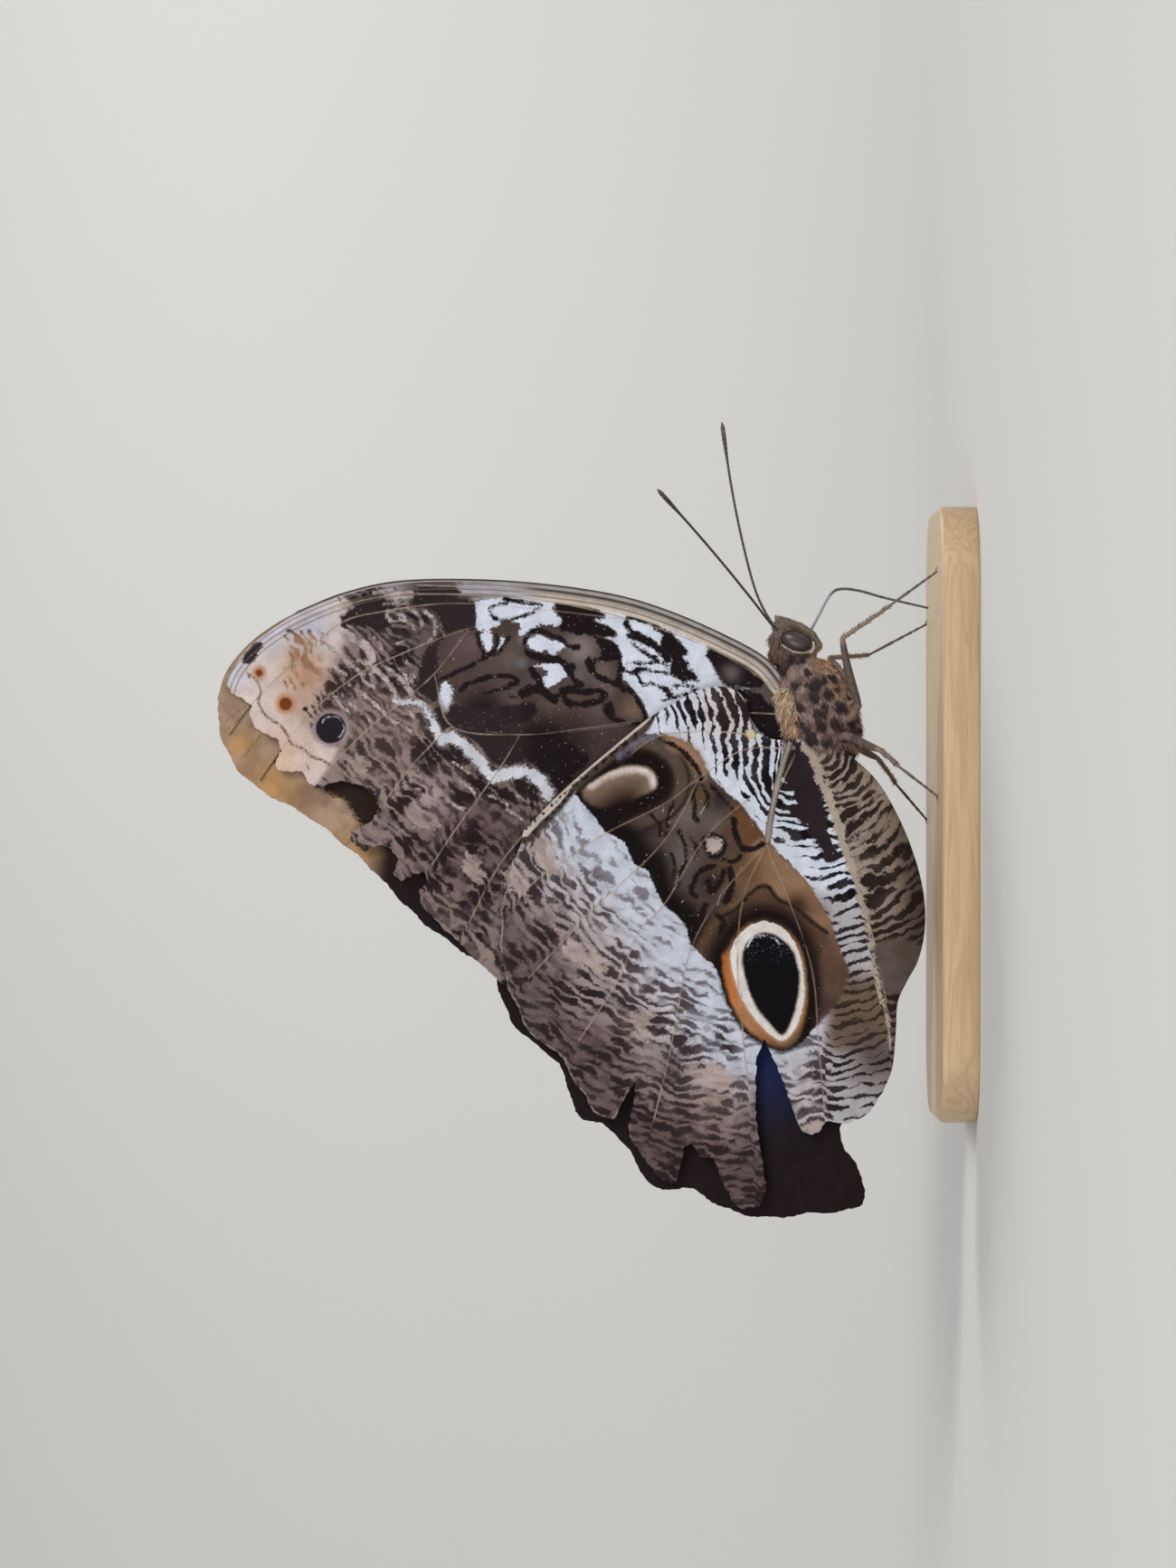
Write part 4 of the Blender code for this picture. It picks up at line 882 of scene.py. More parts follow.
def start_wing(name, pale):
    """A wing finish with its ripples and pale blotches painted."""
    paint = Paint(name, 0.72)
    place = paint.field("plan", "Vector")
    coarse, fine = paint.noise(place, 9.0, 3.0), paint.noise(place, 34.0, 2.0)
    drift, middle = paint.noise(place, 1.7, 2.0), paint.noise(place, 5.2, 2.0)
    shake = paint.math("ADD", paint.times(coarse, 6.0), paint.times(fine, 5.0))
    paint.rag = paint.less(shake, 5.5)
    stripe = paint.field("stripe", "Vector")
    parts = paint.node("ShaderNodeSeparateXYZ", {0: stripe}).outputs
    style = paint.node("ShaderNodeSeparateXYZ", {0: paint.field("style", "Vector")}).outputs
    warp = paint.times(middle, 1.3, paint.times(fine, 0.5))
    warp = paint.times(drift, 3.0, warp)
    phase = paint.times(warp, style[0], parts[0])
    wave = paint.times(paint.math("PINGPONG", phase, 0.5), 2.0)
    number = paint.times(paint.math("ROUND", phase), 5.37)
    row = paint.node("ShaderNodeCombineXYZ", {0: number, 1: parts[1]}).outputs[0]
    dashes = paint.noise(row, 1.0, 2.0)
    clump = paint.less(paint.noise(place, 2.6, 3.0), 0.5)
    reach = paint.times(style[2], 3.4, 1.9)
    half = paint.times(paint.less(dashes, 0.52), reach, parts[2])
    half = paint.times(paint.times(clump, style[2]), 3.6, half)
    half = paint.times(paint.less(coarse, 0.5), 0.5, half)
    level = paint.less(half, wave)
    dark = paint.step(level, paint.times(style[1], -1.0), style[1])
    tone = paint.times(paint.less(clump, 0.12), style[2], 1.0)
    tone = paint.times(paint.times(clump, style[2]), 1.4, tone)
    dark = paint.times(dark, paint.math("MINIMUM", tone, 1.0))
    under_phase = paint.times(drift, 2.0, paint.times(phase, 0.61))
    under_wave = paint.times(paint.math("PINGPONG", under_phase, 0.5), 2.0)
    patchy = paint.times(paint.less(coarse, 0.5), 3.0, 0.34)
    under = paint.step(paint.less(patchy, under_wave), -0.35, 0.35)
    under = paint.times(under, paint.step(parts[2], 0.28, 0.50))
    under = paint.times(paint.times(under, style[2]), 0.8)
    notch = paint.times(paint.less(wave, 0.45), 5.0, paint.field("blotch"))
    notch = paint.times(paint.rag, 2.0, notch)
    blotch = paint.times(paint.step(notch, -1.2, 1.6), paint.step(coarse, 0.05, 0.6))
    dark = paint.times(dark, paint.times(blotch, -0.75, 1.0))
    paint.colour = paint.field("light", "Color")
    paint.coat(under, paint.field("dark", "Color"))
    paint.coat(blotch, pale)
    paint.coat(dark, paint.field("dark", "Color"))
    return paint, place, coarse


def end_wing(paint, place, fleck=0.16):
    """Flecks and the fine relief of overlapping scales."""
    mottle = paint.noise(place, 6.0, 4.0)
    paint.brighten(paint.times(mottle, 0.64, 0.68))
    paint.speckle(place, 36.0, fleck)
    grain = paint.speckle(place, 95.0, fleck)
    paint.shader.inputs["Specular IOR Level"].default_value = 0.06
    return paint.finish(grain, 0.00005)


def worn_specks(paint, place, mask):
    """Tiny pale specks where scales are lost."""
    specks = paint.step(paint.noise(place, 30.0, 2.0), 0.69, 0.73)
    paint.coat(paint.times(specks, mask), (150, 142, 140))


# %% The hindwing's underside finish


def hindwing_underside():
    paint, place, _ = start_wing("hindwing underside scales", (170, 153, 148))
    paint.mark("base", (40, 32, 36), 1.4, rag=2.2)
    in_disc = paint.inside("disc")
    paint.coat(in_disc, paint.field("ground", "Color"))
    # Darker near the white band's inner edge, inside the disc.
    band_edge_black = paint.times(in_disc, paint.step(paint.field("band"), 34.0, 10.0))
    ring_zone = paint.times(in_disc, paint.inside("bean", 2.5, 37.0, 0.5))
    rings = paint.ramp(paint.field("bean"), -38.0, 4.0, [
        (-38, (52, 39, 35)), (-34, (50, 38, 34)), (-31, (78, 65, 57)), (-22, (82, 69, 60)),
        (-17, (40, 29, 26)), (-12, (22, 15, 14)), (4, (18, 12, 11))])
    paint.coat(ring_zone, rings)
    paint.coat(band_edge_black, (20, 14, 15))
    paint.coat(paint.times(paint.inside("bean_rust", 6.0, 2.0, 0.8), 0.85), (150, 118, 92))
    paint.mark("rust", (100, 68, 46), 2.5, rag=0.5)
    surround = paint.ramp(paint.field("eye"), -34.0, 0.0, [
        (-34, (90, 68, 52)), (-22, (80, 59, 46)), (-13, (46, 32, 27)), (-6, (20, 14, 13)), (0, (16, 11, 11))])
    paint.coat(paint.times(paint.inside("eye", 5.0, 30.0, 0.5), in_disc), surround)
    paint.mark("tan", paint.field("tan_colour", "Color"), 3.0, rag=0.5)
    paint.coat(paint.times(paint.inside("eye", 7.0, 18.0, 0.5), in_disc), surround)
    paint.line("brow", (30, 20, 18), 2.0, 1.8)
    paint.mark("ink", (28, 20, 19), 1.4, 0.3, 1.0)
    paint.mark("spot", (170, 156, 150), 1.6, 0.4, 2.2)
    paint.mark("scratch", (166, 156, 152), 0.6, rag=0.3)
    worn_specks(paint, place, in_disc)
    paint.mark("eye", (27, 18, 16), 3.6, 4.6, 0.9)
    paint.mark("eye", paint.field("halo", "Color"), 3.0, -1.0, 0.6)
    glow = paint.times(paint.inside("ring", 3.6, 2.6, 0.5), paint.field("glow"))
    paint.coat(glow, (184, 148, 120))
    paint.mark("ring", (214, 208, 204), 0.9, 0.6, 0.45)
    paint.line("crack", (104, 92, 88), 0.6, 0.7, 0.0)
    paint.mark("pupil", (62, 52, 44), 2.0, 2.0, 0.4)
    paint.mark("pupil", (13, 11, 15), 0.9, rag=0.35)
    spark = paint.step(paint.noise(place, 50.0, 1.0), 0.64, 0.72)
    near_top = paint.times(spark, paint.step(paint.field("glint"), 26.0, 6.0))
    paint.coat(paint.times(near_top, paint.inside("pupil")), (120, 128, 164))
    paint.line("glint", (206, 210, 226), 1.0, 0.9, 0.5)
    # The bean mark is painted as a dome lit from above: a painted highlight along its top edge, and painted
    # shade darkening towards its lower edge.
    bean_shaded_body = paint.ramp(paint.field("shine"), 0.0, 42.0, [
        (0, (166, 148, 134)), (7, (124, 104, 90)), (15, (102, 84, 73)), (24, (74, 57, 48)),
        (32, (38, 26, 23)), (42, (20, 14, 13))])
    paint.mark("bean", bean_shaded_body, 3.2, -1.0, 0.6)
    shine = paint.times(paint.along("shine", 3.0, 5.0, 1.2), paint.inside("bean", 2.4, -1.2, 0.6))
    paint.coat(shine, (212, 200, 194))
    paint.line("edge", (72, 59, 53), 15.0, 3.0)
    dashes = paint.step(paint.noise(place, 16.0, 1.0), 0.50, 0.56)
    paint.coat(paint.times(dashes, paint.along("edge", 13.0, 2.0)), (34, 26, 25))
    paint.coat(paint.times(paint.inside("gleam", 5.0, -0.6, 2.4), 0.6), (120, 118, 138))
    paint.line("edge", (186, 174, 164), 7.2, 1.0, 0.4)
    paint.mark("dots", (50, 39, 38), 0.8, rag=0.3)
    shown = paint.times(in_disc, -0.34, 0.74)
    shown = paint.times(paint.inside("bean", 4.0, 9.0, 0.3), -0.36, shown)
    shown = paint.times(shown, paint.step(paint.noise(place, 4.0, 2.0), 0.2, 0.56))
    paint.coat(paint.times(paint.along("vein", 0.8, 0.7, 0.2), shown), (166, 146, 128))
    paint.line("main", (84, 74, 72), 3.6, 1.2, 0.4)
    paint.line("main", (148, 139, 132), 2.2, 0.9, 0.4)
    paint.mark("node", (196, 182, 146), 2.4, rag=1.0)
    paint.mark("anal", (92, 81, 75), 4.0, rag=1.6)
    paint.line("fold", (164, 151, 139), 4.6, 1.6, 2.4)
    worn = paint.step(paint.noise(place, 12.0, 2.0), 0.40, 0.62)
    paint.coat(paint.times(paint.along("fringe", 1.8, 0.8, 0.5), worn), (138, 126, 120))
    return end_wing(paint, place)


# %% The forewing's underside finish


def forewing_underside():
    paint, place, coarse = start_wing("forewing underside scales", (154, 137, 131))
    rippled = paint.colour
    cell = paint.field("cell")
    paint.coat(cell, paint.field("ground", "Color"))
    paint.mark("chalk", SNOW, 1.0, rag=1.7)
    paint.coat(paint.times(paint.inside("chalk"), paint.field("zebra_zone")), rippled)
    root = paint.field("root")
    ink_colour = paint.mix(root, (44, 34, 36), (27, 19, 22))
    paint.mark("ink", ink_colour, 1.5, rag=1.5)
    paint.coat(paint.field("mauve"), (96, 82, 84))
    paint.mark("squiggle", (28, 20, 23), 1.3, 0.3, 1.2)
    shown = paint.times(paint.inside("streak", 1.2, rag=0.9), paint.step(coarse, 0.2, 0.62))
    paint.coat(paint.times(shown, 0.9), (184, 170, 166))
    worn_specks(paint, place, paint.times(paint.inside("ink"), 0.8))
    worn_specks(paint, place, cell)
    paint.line("hairline", (104, 98, 100), 0.5, 0.6, 0.1)
    paint.coat(paint.times(paint.inside("scallop", 3.0, 2.0, 2.6), 0.5), (150, 140, 142))
    paint.mark("scallop", (196, 198, 206), 1.2, -0.2, 2.0)
    paint.line("thread", (196, 192, 190), 0.7, 0.7, 0.1)
    paint.coat(paint.times(paint.along("wavy", 1.5, 1.0, 0.4), 0.85), (96, 74, 66))
    front = paint.field("front")
    lines = paint.ramp(front, 0.0, 22.0, [
        (0, (84, 78, 76)), (1.4, (60, 54, 54)), (2.6, (150, 145, 142)), (5.0, (160, 154, 150)),
        (6.2, (74, 68, 68)), (8.2, (80, 74, 74)), (9.6, (150, 143, 138)), (13.0, (182, 172, 164)),
        (14.5, (120, 110, 106)), (16.5, (196, 184, 170)), (20.0, (190, 178, 166)), (22, (150, 140, 134))])
    at_tip = paint.less(1.0, root)
    basal = paint.times(paint.step(front, 21.0, 18.0), root)
    tip = paint.times(paint.step(front, 4.0, 3.0), at_tip)
    paint.coat(paint.math("MAXIMUM", basal, tip), lines)
    for away in (6.0, 11.5, 17.0):
        line = paint.step(paint.math("ABSOLUTE", paint.less(front, away)), 1.3, 0.3)
        paint.coat(paint.times(paint.times(line, 0.6), at_tip), (96, 86, 88))
    paint.mark("rust", (176, 128, 92), 4.0, 4.0, 0.5)
    paint.mark("rust", (112, 58, 26), 1.2, rag=0.3)
    paint.mark("eyelet", (150, 132, 132), 4.0, 4.0, 0.5)
    paint.mark("eyelet", (36, 28, 36), 1.2, rag=0.3)
    paint.coat(paint.times(paint.along("eyelet_arc", 1.0, 0.8), 0.8), (170, 165, 176))
    shown = paint.times(cell, -0.4, 0.76)
    shown = paint.times(shown, paint.step(paint.noise(place, 4.0, 2.0), 0.2, 0.56))
    veins = paint.times(paint.along("vein", 0.8, 0.7, 0.2), shown)
    paint.coat(veins, (158, 140, 122))
    return end_wing(paint, place)


# %% The upper sides, seen through the tears


BLUE = {"fore": [((740, 830), 130)], "hind": [((846, 1175), 52), ((830, 1010), 110)]}
GOLD = [((264, 822), 14), ((300, 868), 26), ((404, 934), 22)]
# Dark patches below the torn right forewing's edge: the upper side's own dark brown, partly painted shadow
# cast by that edge.
DARK_AND_SHADOW_FORE = [
    [(352, 866), (360, 852), (430, 850), (440, 900), (425, 925), (408, 920), (400, 912), (393, 904),
     (386, 892), (380, 884), (368, 880), (358, 874)],
    [(418, 925), (450, 925), (466, 964), (444, 978), (436, 955), (428, 940)]]
FOLDS_FORE = [
    [(300, 800), (284, 818), (268, 838)],
    [(333, 842), (320, 860), (305, 884)],
    [(366, 845), (348, 870), (330, 896)],
    [(272, 780), (258, 790), (246, 800)],
    [(318, 822), (302, 842), (288, 866)],
    [(252, 806), (270, 790)],
    [(398, 905), (388, 925), (380, 938)]]


def upper_side(name, ochre):
    """Dark brown scales, blue towards the root, and ochre at the forewing's tip, with painted shadow under
    the torn edge.
    """
    paint = Paint(name, 0.6)
    place = paint.field("plan", "Vector")
    coarse, fine = paint.noise(place, 9.0, 3.0), paint.noise(place, 34.0, 2.0)
    paint.rag = paint.times(paint.less(fine, 0.5), 6.0)
    paint.colour = paint.mix(coarse, (36, 26, 26), (25, 18, 20))
    paint.coat(paint.field("blue"), (28, 40, 78))
    if ochre:
        patches = paint.step(paint.noise(place, 2.8, 4.0, 0.4), 0.34, 0.66)
        ochre_scales = paint.mix(patches, (134, 108, 90), (166, 140, 118))
        ochre_scales = paint.mix(paint.field("gold"), ochre_scales, (176, 136, 90))
        paint.coat(paint.field("ochre"), ochre_scales)
        # dark brown with painted shadow below the torn edge of the right forewing
        paint.mark("dark_and_shadow", (42, 29, 24), 4.0, rag=2.2)
        paint.coat(paint.times(paint.along("folds", 1.0, 1.0, 0.2), 0.6), (98, 72, 56))
    paint.coat(paint.times(paint.along("vein", 1.1, 0.9, 0.1), 0.75), (70, 53, 44))
    return end_wing(paint, place, 0.12)


SCALES = {"fore": forewing_underside(), "hind": hindwing_underside()}
UPPER = {
    "fore": upper_side("forewing upper scales", True), "hind": upper_side("hindwing upper scales", False)}
print("wing finishes:", [m.name for m in bpy.data.materials if "scales" in m.name])

# %% [markdown]
# Each wing face is now a mesh: the flat fill is lifted to its height, thinned to nothing at the
# rim, raised along the veins and set a little hollow between them, as a real membrane dries.

# %% Raise the wing faces
HALF_THICKNESS, RIDGE, SAG = 0.15 * MM, 0.10 * MM, 0.06 * MM
COLOUR_FIELDS = ("light", "dark", "halo", "ground", "tan_colour", "tint")


def store(mesh, name, values):
    """Keep an array on the mesh's points for the shader to read."""
    values = np.asarray(values, np.float32)
    if values.ndim == 1:
        mesh.attributes.new(name, "FLOAT", "POINT").data.foreach_set("value", values)
    elif name in COLOUR_FIELDS:
        full = np.column_stack([linear(values), np.ones(len(values))]).astype(np.float32)
        mesh.attributes.new(name, "FLOAT_COLOR", "POINT").data.foreach_set("color", full.ravel())
    else:
        mesh.attributes.new(name, "FLOAT_VECTOR", "POINT").data.foreach_set("vector", values.ravel())


def add_piece(name, mesh):
    """A mesh as a piece that rides on the model's one body."""
    piece = add_object(name, mesh)
    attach(piece, "root")
    return piece


def make_piece(name, places, faces, material):
    """A smooth piece from arrays of places and faces."""
    mesh = bpy.data.meshes.new(name)
    mesh.from_pydata([tuple(p) for p in places], [], [tuple(int(i) for i in f) for f in faces])
    mesh.shade_smooth()
    mesh.materials.append(material)
    return add_piece(name, mesh)


def corner_points(mesh):
    """The point at each corner of the faces."""
    corners = np.empty(len(mesh.loops), np.int32)
    mesh.loops.foreach_get("vertex_index", corners)
    return corners


def write_map(mesh, corners):
    """Keep a baking map, two numbers from 0 to 1 for each corner of the faces."""
    mesh.uv_layers.new(name="OFBake").data.foreach_set("uv", corners.astype(np.float32).ravel())


def lay_flat(mesh, across, up):
    """A baking map of two coordinates of each point, spread over the unit square."""
    flat = np.column_stack([across, up])
    flat = (flat - flat.min(axis=0)) / np.ptp(flat, axis=0)
    write_map(mesh, flat[corner_points(mesh)])


def wing_face(name, side, outer):
    """The outer, under face or the inner, upper face of one wing."""
    part, (flat, faces, vein, rim) = name[:4], PLANS[name]
    middle = forewing_height(flat) if part == "fore" else hindwing_height(flat)
    soft = ease(0, 12, rim)
    waves = np.array([noise.noise(Vector((u / 60, v / 60, 3.0))) for u, v in flat]) * 0.05 * MM
    middle = middle - soft * (SAG * ease(2, 16, vein) - waves)
    half = HALF_THICKNESS * ease(0, 7, rim)
    half = half + RIDGE * np.clip(1 - vein / VEIN_WIDTH, 0, 1) * ease(0, 9, rim)
    x, z = to_plane(flat)
    y = side * (middle + (half if outer else -half))
    face = outer == (side < 0)
    a, b, c = (np.column_stack([x, z])[faces[:, i]] for i in range(3))
    turn = (b[:, 0] - a[:, 0]) * (c[:, 1] - a[:, 1]) - (b[:, 1] - a[:, 1]) * (c[:, 0] - a[:, 0])
    faces = np.where((turn > 0)[:, None] == face, faces, faces[:, ::-1])
    piece = make_piece(name + ("_under" if outer else "_upper"), np.column_stack([x, y, z]), faces,
                       (SCALES if outer else UPPER)[part])
    store(piece.data, "vein", vein)
    if outer:
        for field, values in FIELDS[name].items():
            store(piece.data, field, values + rim if field == "fringe" else values)
    else:
        u, v = flat.T
        store(piece.data, "plan", FIELDS[name]["plan"])
        blue = sum(near(flat, place, reach) for place, reach in BLUE[part])
        store(piece.data, "blue", np.clip(blue, 0, 1) * 0.9)
        store(piece.data, "ochre", ease(446, 408, u + 0.15 * (v - 860)))
        store(piece.data, "gold", sum(near(flat, place, reach) for place, reach in GOLD))
        store(piece.data, "dark_and_shadow", np.max([depth_in(flat, loop) for loop in DARK_AND_SHADOW_FORE], axis=0))
        store(piece.data, "folds", off_line(flat, *[curve(line, 6) for line in FOLDS_FORE]))
    lay_flat(piece.data, flat[:, 0], -flat[:, 1])
    return piece


for name in PLANS:
    side = 1 if name.endswith("left") else -1
    for outer in (True, False):
        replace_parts(wing_face(name, side, outer), name)

# %% [markdown]
# Head, thorax and abdomen are one soft body under the hair, so one skin covers their solids. The
# solids are swollen a little so that they touch, fused by a voxel remesh, smoothed, and drawn
# back in, which leaves room for the hair.

# %% One skin for head, thorax, abdomen and palps
SWELL, HAIR_DEPTH, VOXEL = 0.28 * MM, 0.42 * MM, 0.16 * MM
FLESH = ("head", "thorax", "abdomen", "palp_left", "palp_right")
HEAD_LEAN = radians(28)
HEAD_PLACE, HEAD_RADII = (870, 714), (1.85, 2.45, 2.9)
NECK_PLACE, NECK_RADII = (864, 723), (1.9, 2.3, 1.9)
FACE_PLACE, FACE_RADII = (866, 697), (1.35, 1.9, 2.0)
PALP_PATH = [
    (888, 716, 1.1), (898, 719, 1.2), (903, 713, 1.2), (897, 702, 1.2), (884, 693, 1.2), (870, 687, 1.15),
    (858, 683, 1.0)]
PALP_RADII = [0.92, 1.00, 1.04, 1.00, 0.96, 0.88, 0.76]


def egg_shape(work, place, radii):
    """An egg at a side-view place, leaning forward as the head does."""
    x, z = to_plane(place)
    turn = Matrix.Rotation(HEAD_LEAN, 4, "Y")
    size = Matrix.Diagonal((*[r * MM for r in radii], 1))
    spot = Matrix.Translation((x, 0.0, z))
    bmesh.ops.create_icosphere(work, subdivisions=4, radius=1.0, matrix=spot @ turn @ size)


def fuse_flesh():
    """Head, palps, thorax and abdomen as one closed skin."""
    work = bmesh.new()
    for name in ("thorax", "abdomen"):
        start = len(work.verts)
        work.from_mesh(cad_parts[name].data)
        work.verts.ensure_lookup_table()
        fresh = work.verts[start:]
        work.normal_update()
        for v, normal in [(v, v.normal.copy()) for v in fresh]:
            v.co += normal * SWELL
    egg_shape(work, HEAD_PLACE, HEAD_RADII)
    egg_shape(work, NECK_PLACE, NECK_RADII)
    egg_shape(work, FACE_PLACE, FACE_RADII)
    for side in (-1, 1):
        places = [to_plane((u, v)) for u, v, _ in PALP_PATH]
        for k in range(len(places) - 1):
            for t in np.arange(0, 1, 0.125):
                x, z = [a + (b - a) * t for a, b in zip(places[k], places[k + 1])]
                y = side * (PALP_PATH[k][2] + (PALP_PATH[k + 1][2] - PALP_PATH[k][2]) * t) * MM
                radius = (PALP_RADII[k] + (PALP_RADII[k + 1] - PALP_RADII[k]) * t) * MM
                spot = Matrix.Translation((x, y, z))
                bmesh.ops.create_icosphere(work, subdivisions=2, radius=radius, matrix=spot)
    mesh = bpy.data.meshes.new("flesh")
    work.to_mesh(mesh)
    work.free()
    body = add_object("flesh", mesh)
    fuse = body.modifiers.new("fuse", "REMESH")
    fuse.mode, fuse.voxel_size, fuse.use_smooth_shade = "VOXEL", VOXEL, True
    calm = body.modifiers.new("calm", "SMOOTH")
    calm.factor, calm.iterations = 0.5, 4
    inset = body.modifiers.new("draw in", "DISPLACE")
    inset.strength, inset.mid_level = -HAIR_DEPTH, 0.0
    done = bpy.data.meshes.new_from_object(body.evaluated_get(bpy.context.evaluated_depsgraph_get()))
    bpy.data.objects.remove(body)
    places = np.empty(len(done.vertices) * 3, np.float32)
    done.vertices.foreach_get("co", places)
    faces = [tuple(p.vertices) for p in done.polygons]
    return places.reshape(-1, 3).astype(float), faces


SKIN_PLACES, SKIN_FACES = fuse_flesh()
print("skin faces:", len(SKIN_FACES))

# %% [markdown]
# Skin and hair have to carry the same markings, so one function gives the colour of any point of
# the body, and one unrolls the body round its own axis for the baking map.

# %% Markings and unrolled map of the body
CHEST_AXIS = [(846, 672), (862, 694), (880, 722), (897, 772), (917, 834)]
BODY_AXIS = curve(CHEST_AXIS + ABDOMEN_AXIS[1:] + [(992, 1080)], 6)
BODY_TINTS = [
    ((889, 740), 7, (196, 176, 172)), ((852, 716), 18, (130, 100, 86)), ((868, 688), 26, (144, 126, 112)),
    ((902, 704), 17, (136, 122, 106)), ((909, 727), 12, (196, 150, 112))]
DARK_SPOTS = [
    ((867, 732), 5), ((876, 730), 6), ((886, 729), 4), ((894, 758), 5), ((902, 756), 6), ((908, 751), 5),
    ((897, 769), 6), ((915, 767), 6), ((927, 781), 7), ((905, 790), 6), ((906, 802), 6), ((896, 815), 8),
    ((881, 783), 7), ((880, 797), 6), ((870, 775), 6), ((880, 758), 6), ((925, 762), 4), ((940, 798), 5),
    ((946, 797), 4), ((942, 808), 5), ((950, 808), 4), ((944, 817), 5), ((922, 800), 6), ((930, 812), 6),
    ((914, 820), 7), ((892, 745), 4), ((918, 748), 4), ((936, 772), 4), ((912, 782), 4), ((890, 806), 5),
    ((862, 740), 5), ((932, 830), 6), ((905, 838), 6)]


def to_picture(places):
    """Side-view pixels of points in space."""
    u = PERCH_U - (places[:, 2] - BASE_TOP) / PIXEL
    return np.column_stack([u, MIDDLE_V - places[:, 0] / PIXEL])


def unroll(places):
    """Turn about the body's axis and run along it, both from 0 to 1."""
    away, run, side = nearest(to_picture(places), BODY_AXIS)
    turn = np.arctan2(side * away * PIXEL, -places[:, 1]) / (2 * pi) + 0.5
    return np.column_stack([turn, run])


def body_colour(places):
    """Coat colour on the 0 to 255 scale."""
    flat = to_picture(places)
    u, v = flat.T
    shake = np.array([noise.noise(Vector(p) * 900) for p in places])
    fine = np.array([noise.noise(Vector(p) * 3200) for p in places])
    belly = ease(-24, -6, u - 915 - 0.5 * (v - 725))
    wobble = flat + shake[:, None] * 5
    spots = np.max([near(wobble, place, size * 1.15) for place, size in DARK_SPOTS], axis=0)
    stripes = np.sin((v - 0.35 * u) * 2 * pi / 11.5 + shake * 4)
    rear = ease(822, 850, v)
    colour = layered(
        flat, (138, 114, 106), ((182, 158, 148), 0.4 + shake * 1.8),
        ((198, 162, 134), belly * ease(812, 770, v) * 0.7), *patches(flat, BODY_TINTS, 1),
        ((64, 50, 51), ease(0.26, 0.66, spots) * 0.95), ((150, 134, 118), rear * ease(-0.2, 0.6, stripes)),
        ((58, 46, 42), rear * ease(0.2, -0.6, stripes) * 0.8))
    return np.clip(colour * (1 + fine[:, None] * 0.25), 0, 255)


def coat_finish(name, roughness):
    paint = Paint(name, roughness)
    where = paint.node("ShaderNodeTexCoord").outputs["Object"]
    paint.colour = paint.field("tint", "Color")
    grain = paint.speckle(where, 5200.0, 0.18)
    paint.shader.inputs["Specular IOR Level"].default_value = 0.3
    return paint.finish(grain, 0.00004)


def wrap_map(mesh, map_of_points):
    """The unrolled map on a mesh, its seam kept from crossing the square."""
    flat = map_of_points[corner_points(mesh)]
    for p in mesh.polygons:
        turn = flat[p.loop_start:p.loop_start + p.loop_total, 0]
        if np.ptp(turn) > 0.5:
            turn[turn < 0.5] = 1.0
    write_map(mesh, flat)


SKIN_COAT, HAIR_COAT = coat_finish("body skin", 0.85), coat_finish("body hair", 0.62)
skin = make_piece("body_skin", SKIN_PLACES, SKIN_FACES, SKIN_COAT)
store(skin.data, "tint", body_colour(SKIN_PLACES) * 0.8)
wrap_map(skin.data, unroll(SKIN_PLACES))
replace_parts(skin, *FLESH)
print("skin box", [round(float(a) * 1000, 1) for a in np.ptp(SKIN_PLACES, axis=0)], "mm")

# %% [markdown]
# Butterfly hair is coarse and lies back along the body. Particle hair would be quick, but it
# can't be exported, so each tuft is a thin tapered blade of seven points, built for thousands of
# roots at once with arrays.

# %% Hair tufts
BLADE = np.array([
    (0, 2, 1, -1), (0, 1, 4, 3), (1, 2, 5, 4), (2, 0, 3, 5), (3, 4, 6, -1), (4, 5, 6, -1), (5, 3, 6, -1)])
BLADE_MAP = np.array([(-1, -1), (1, -1), (0, -1), (-1, 0), (1, 0), (0, 0), (0, 1)]) * 0.0014
DROOP = 0.35
# Painted shade on every blade: darker at its foot among the other hair, a little lighter at its tip.
BLADE_SHADE = np.array((0.7, 0.7, 0.7, 1, 1, 1, 1.15))


def unit(vectors):
    return vectors / np.maximum(np.linalg.norm(vectors, axis=1), 1e-12)[:, None]


def sow(count, wanted):
    """Random roots on the skin, kept by a wanted share, with their normals."""
    tris = np.array([(f[0], f[i], f[i + 1]) for f in SKIN_FACES for i in range(1, len(f) - 1)])
    a, b, c = (SKIN_PLACES[tris[:, i]] for i in range(3))
    cross = np.cross(b - a, c - a)
    area = np.linalg.norm(cross, axis=1)
    pick = chance.choice(len(tris), count, p=area / area.sum())
    s, t = np.sqrt(chance.random(count)), chance.random(count)
    shares = (a[pick], 1 - s), (b[pick], s * (1 - t)), (c[pick], s * t)
    roots = sum(corner * share[:, None] for corner, share in shares)
    keep = chance.random(count) < wanted(roots)
    return roots[keep], unit(cross[pick][keep])


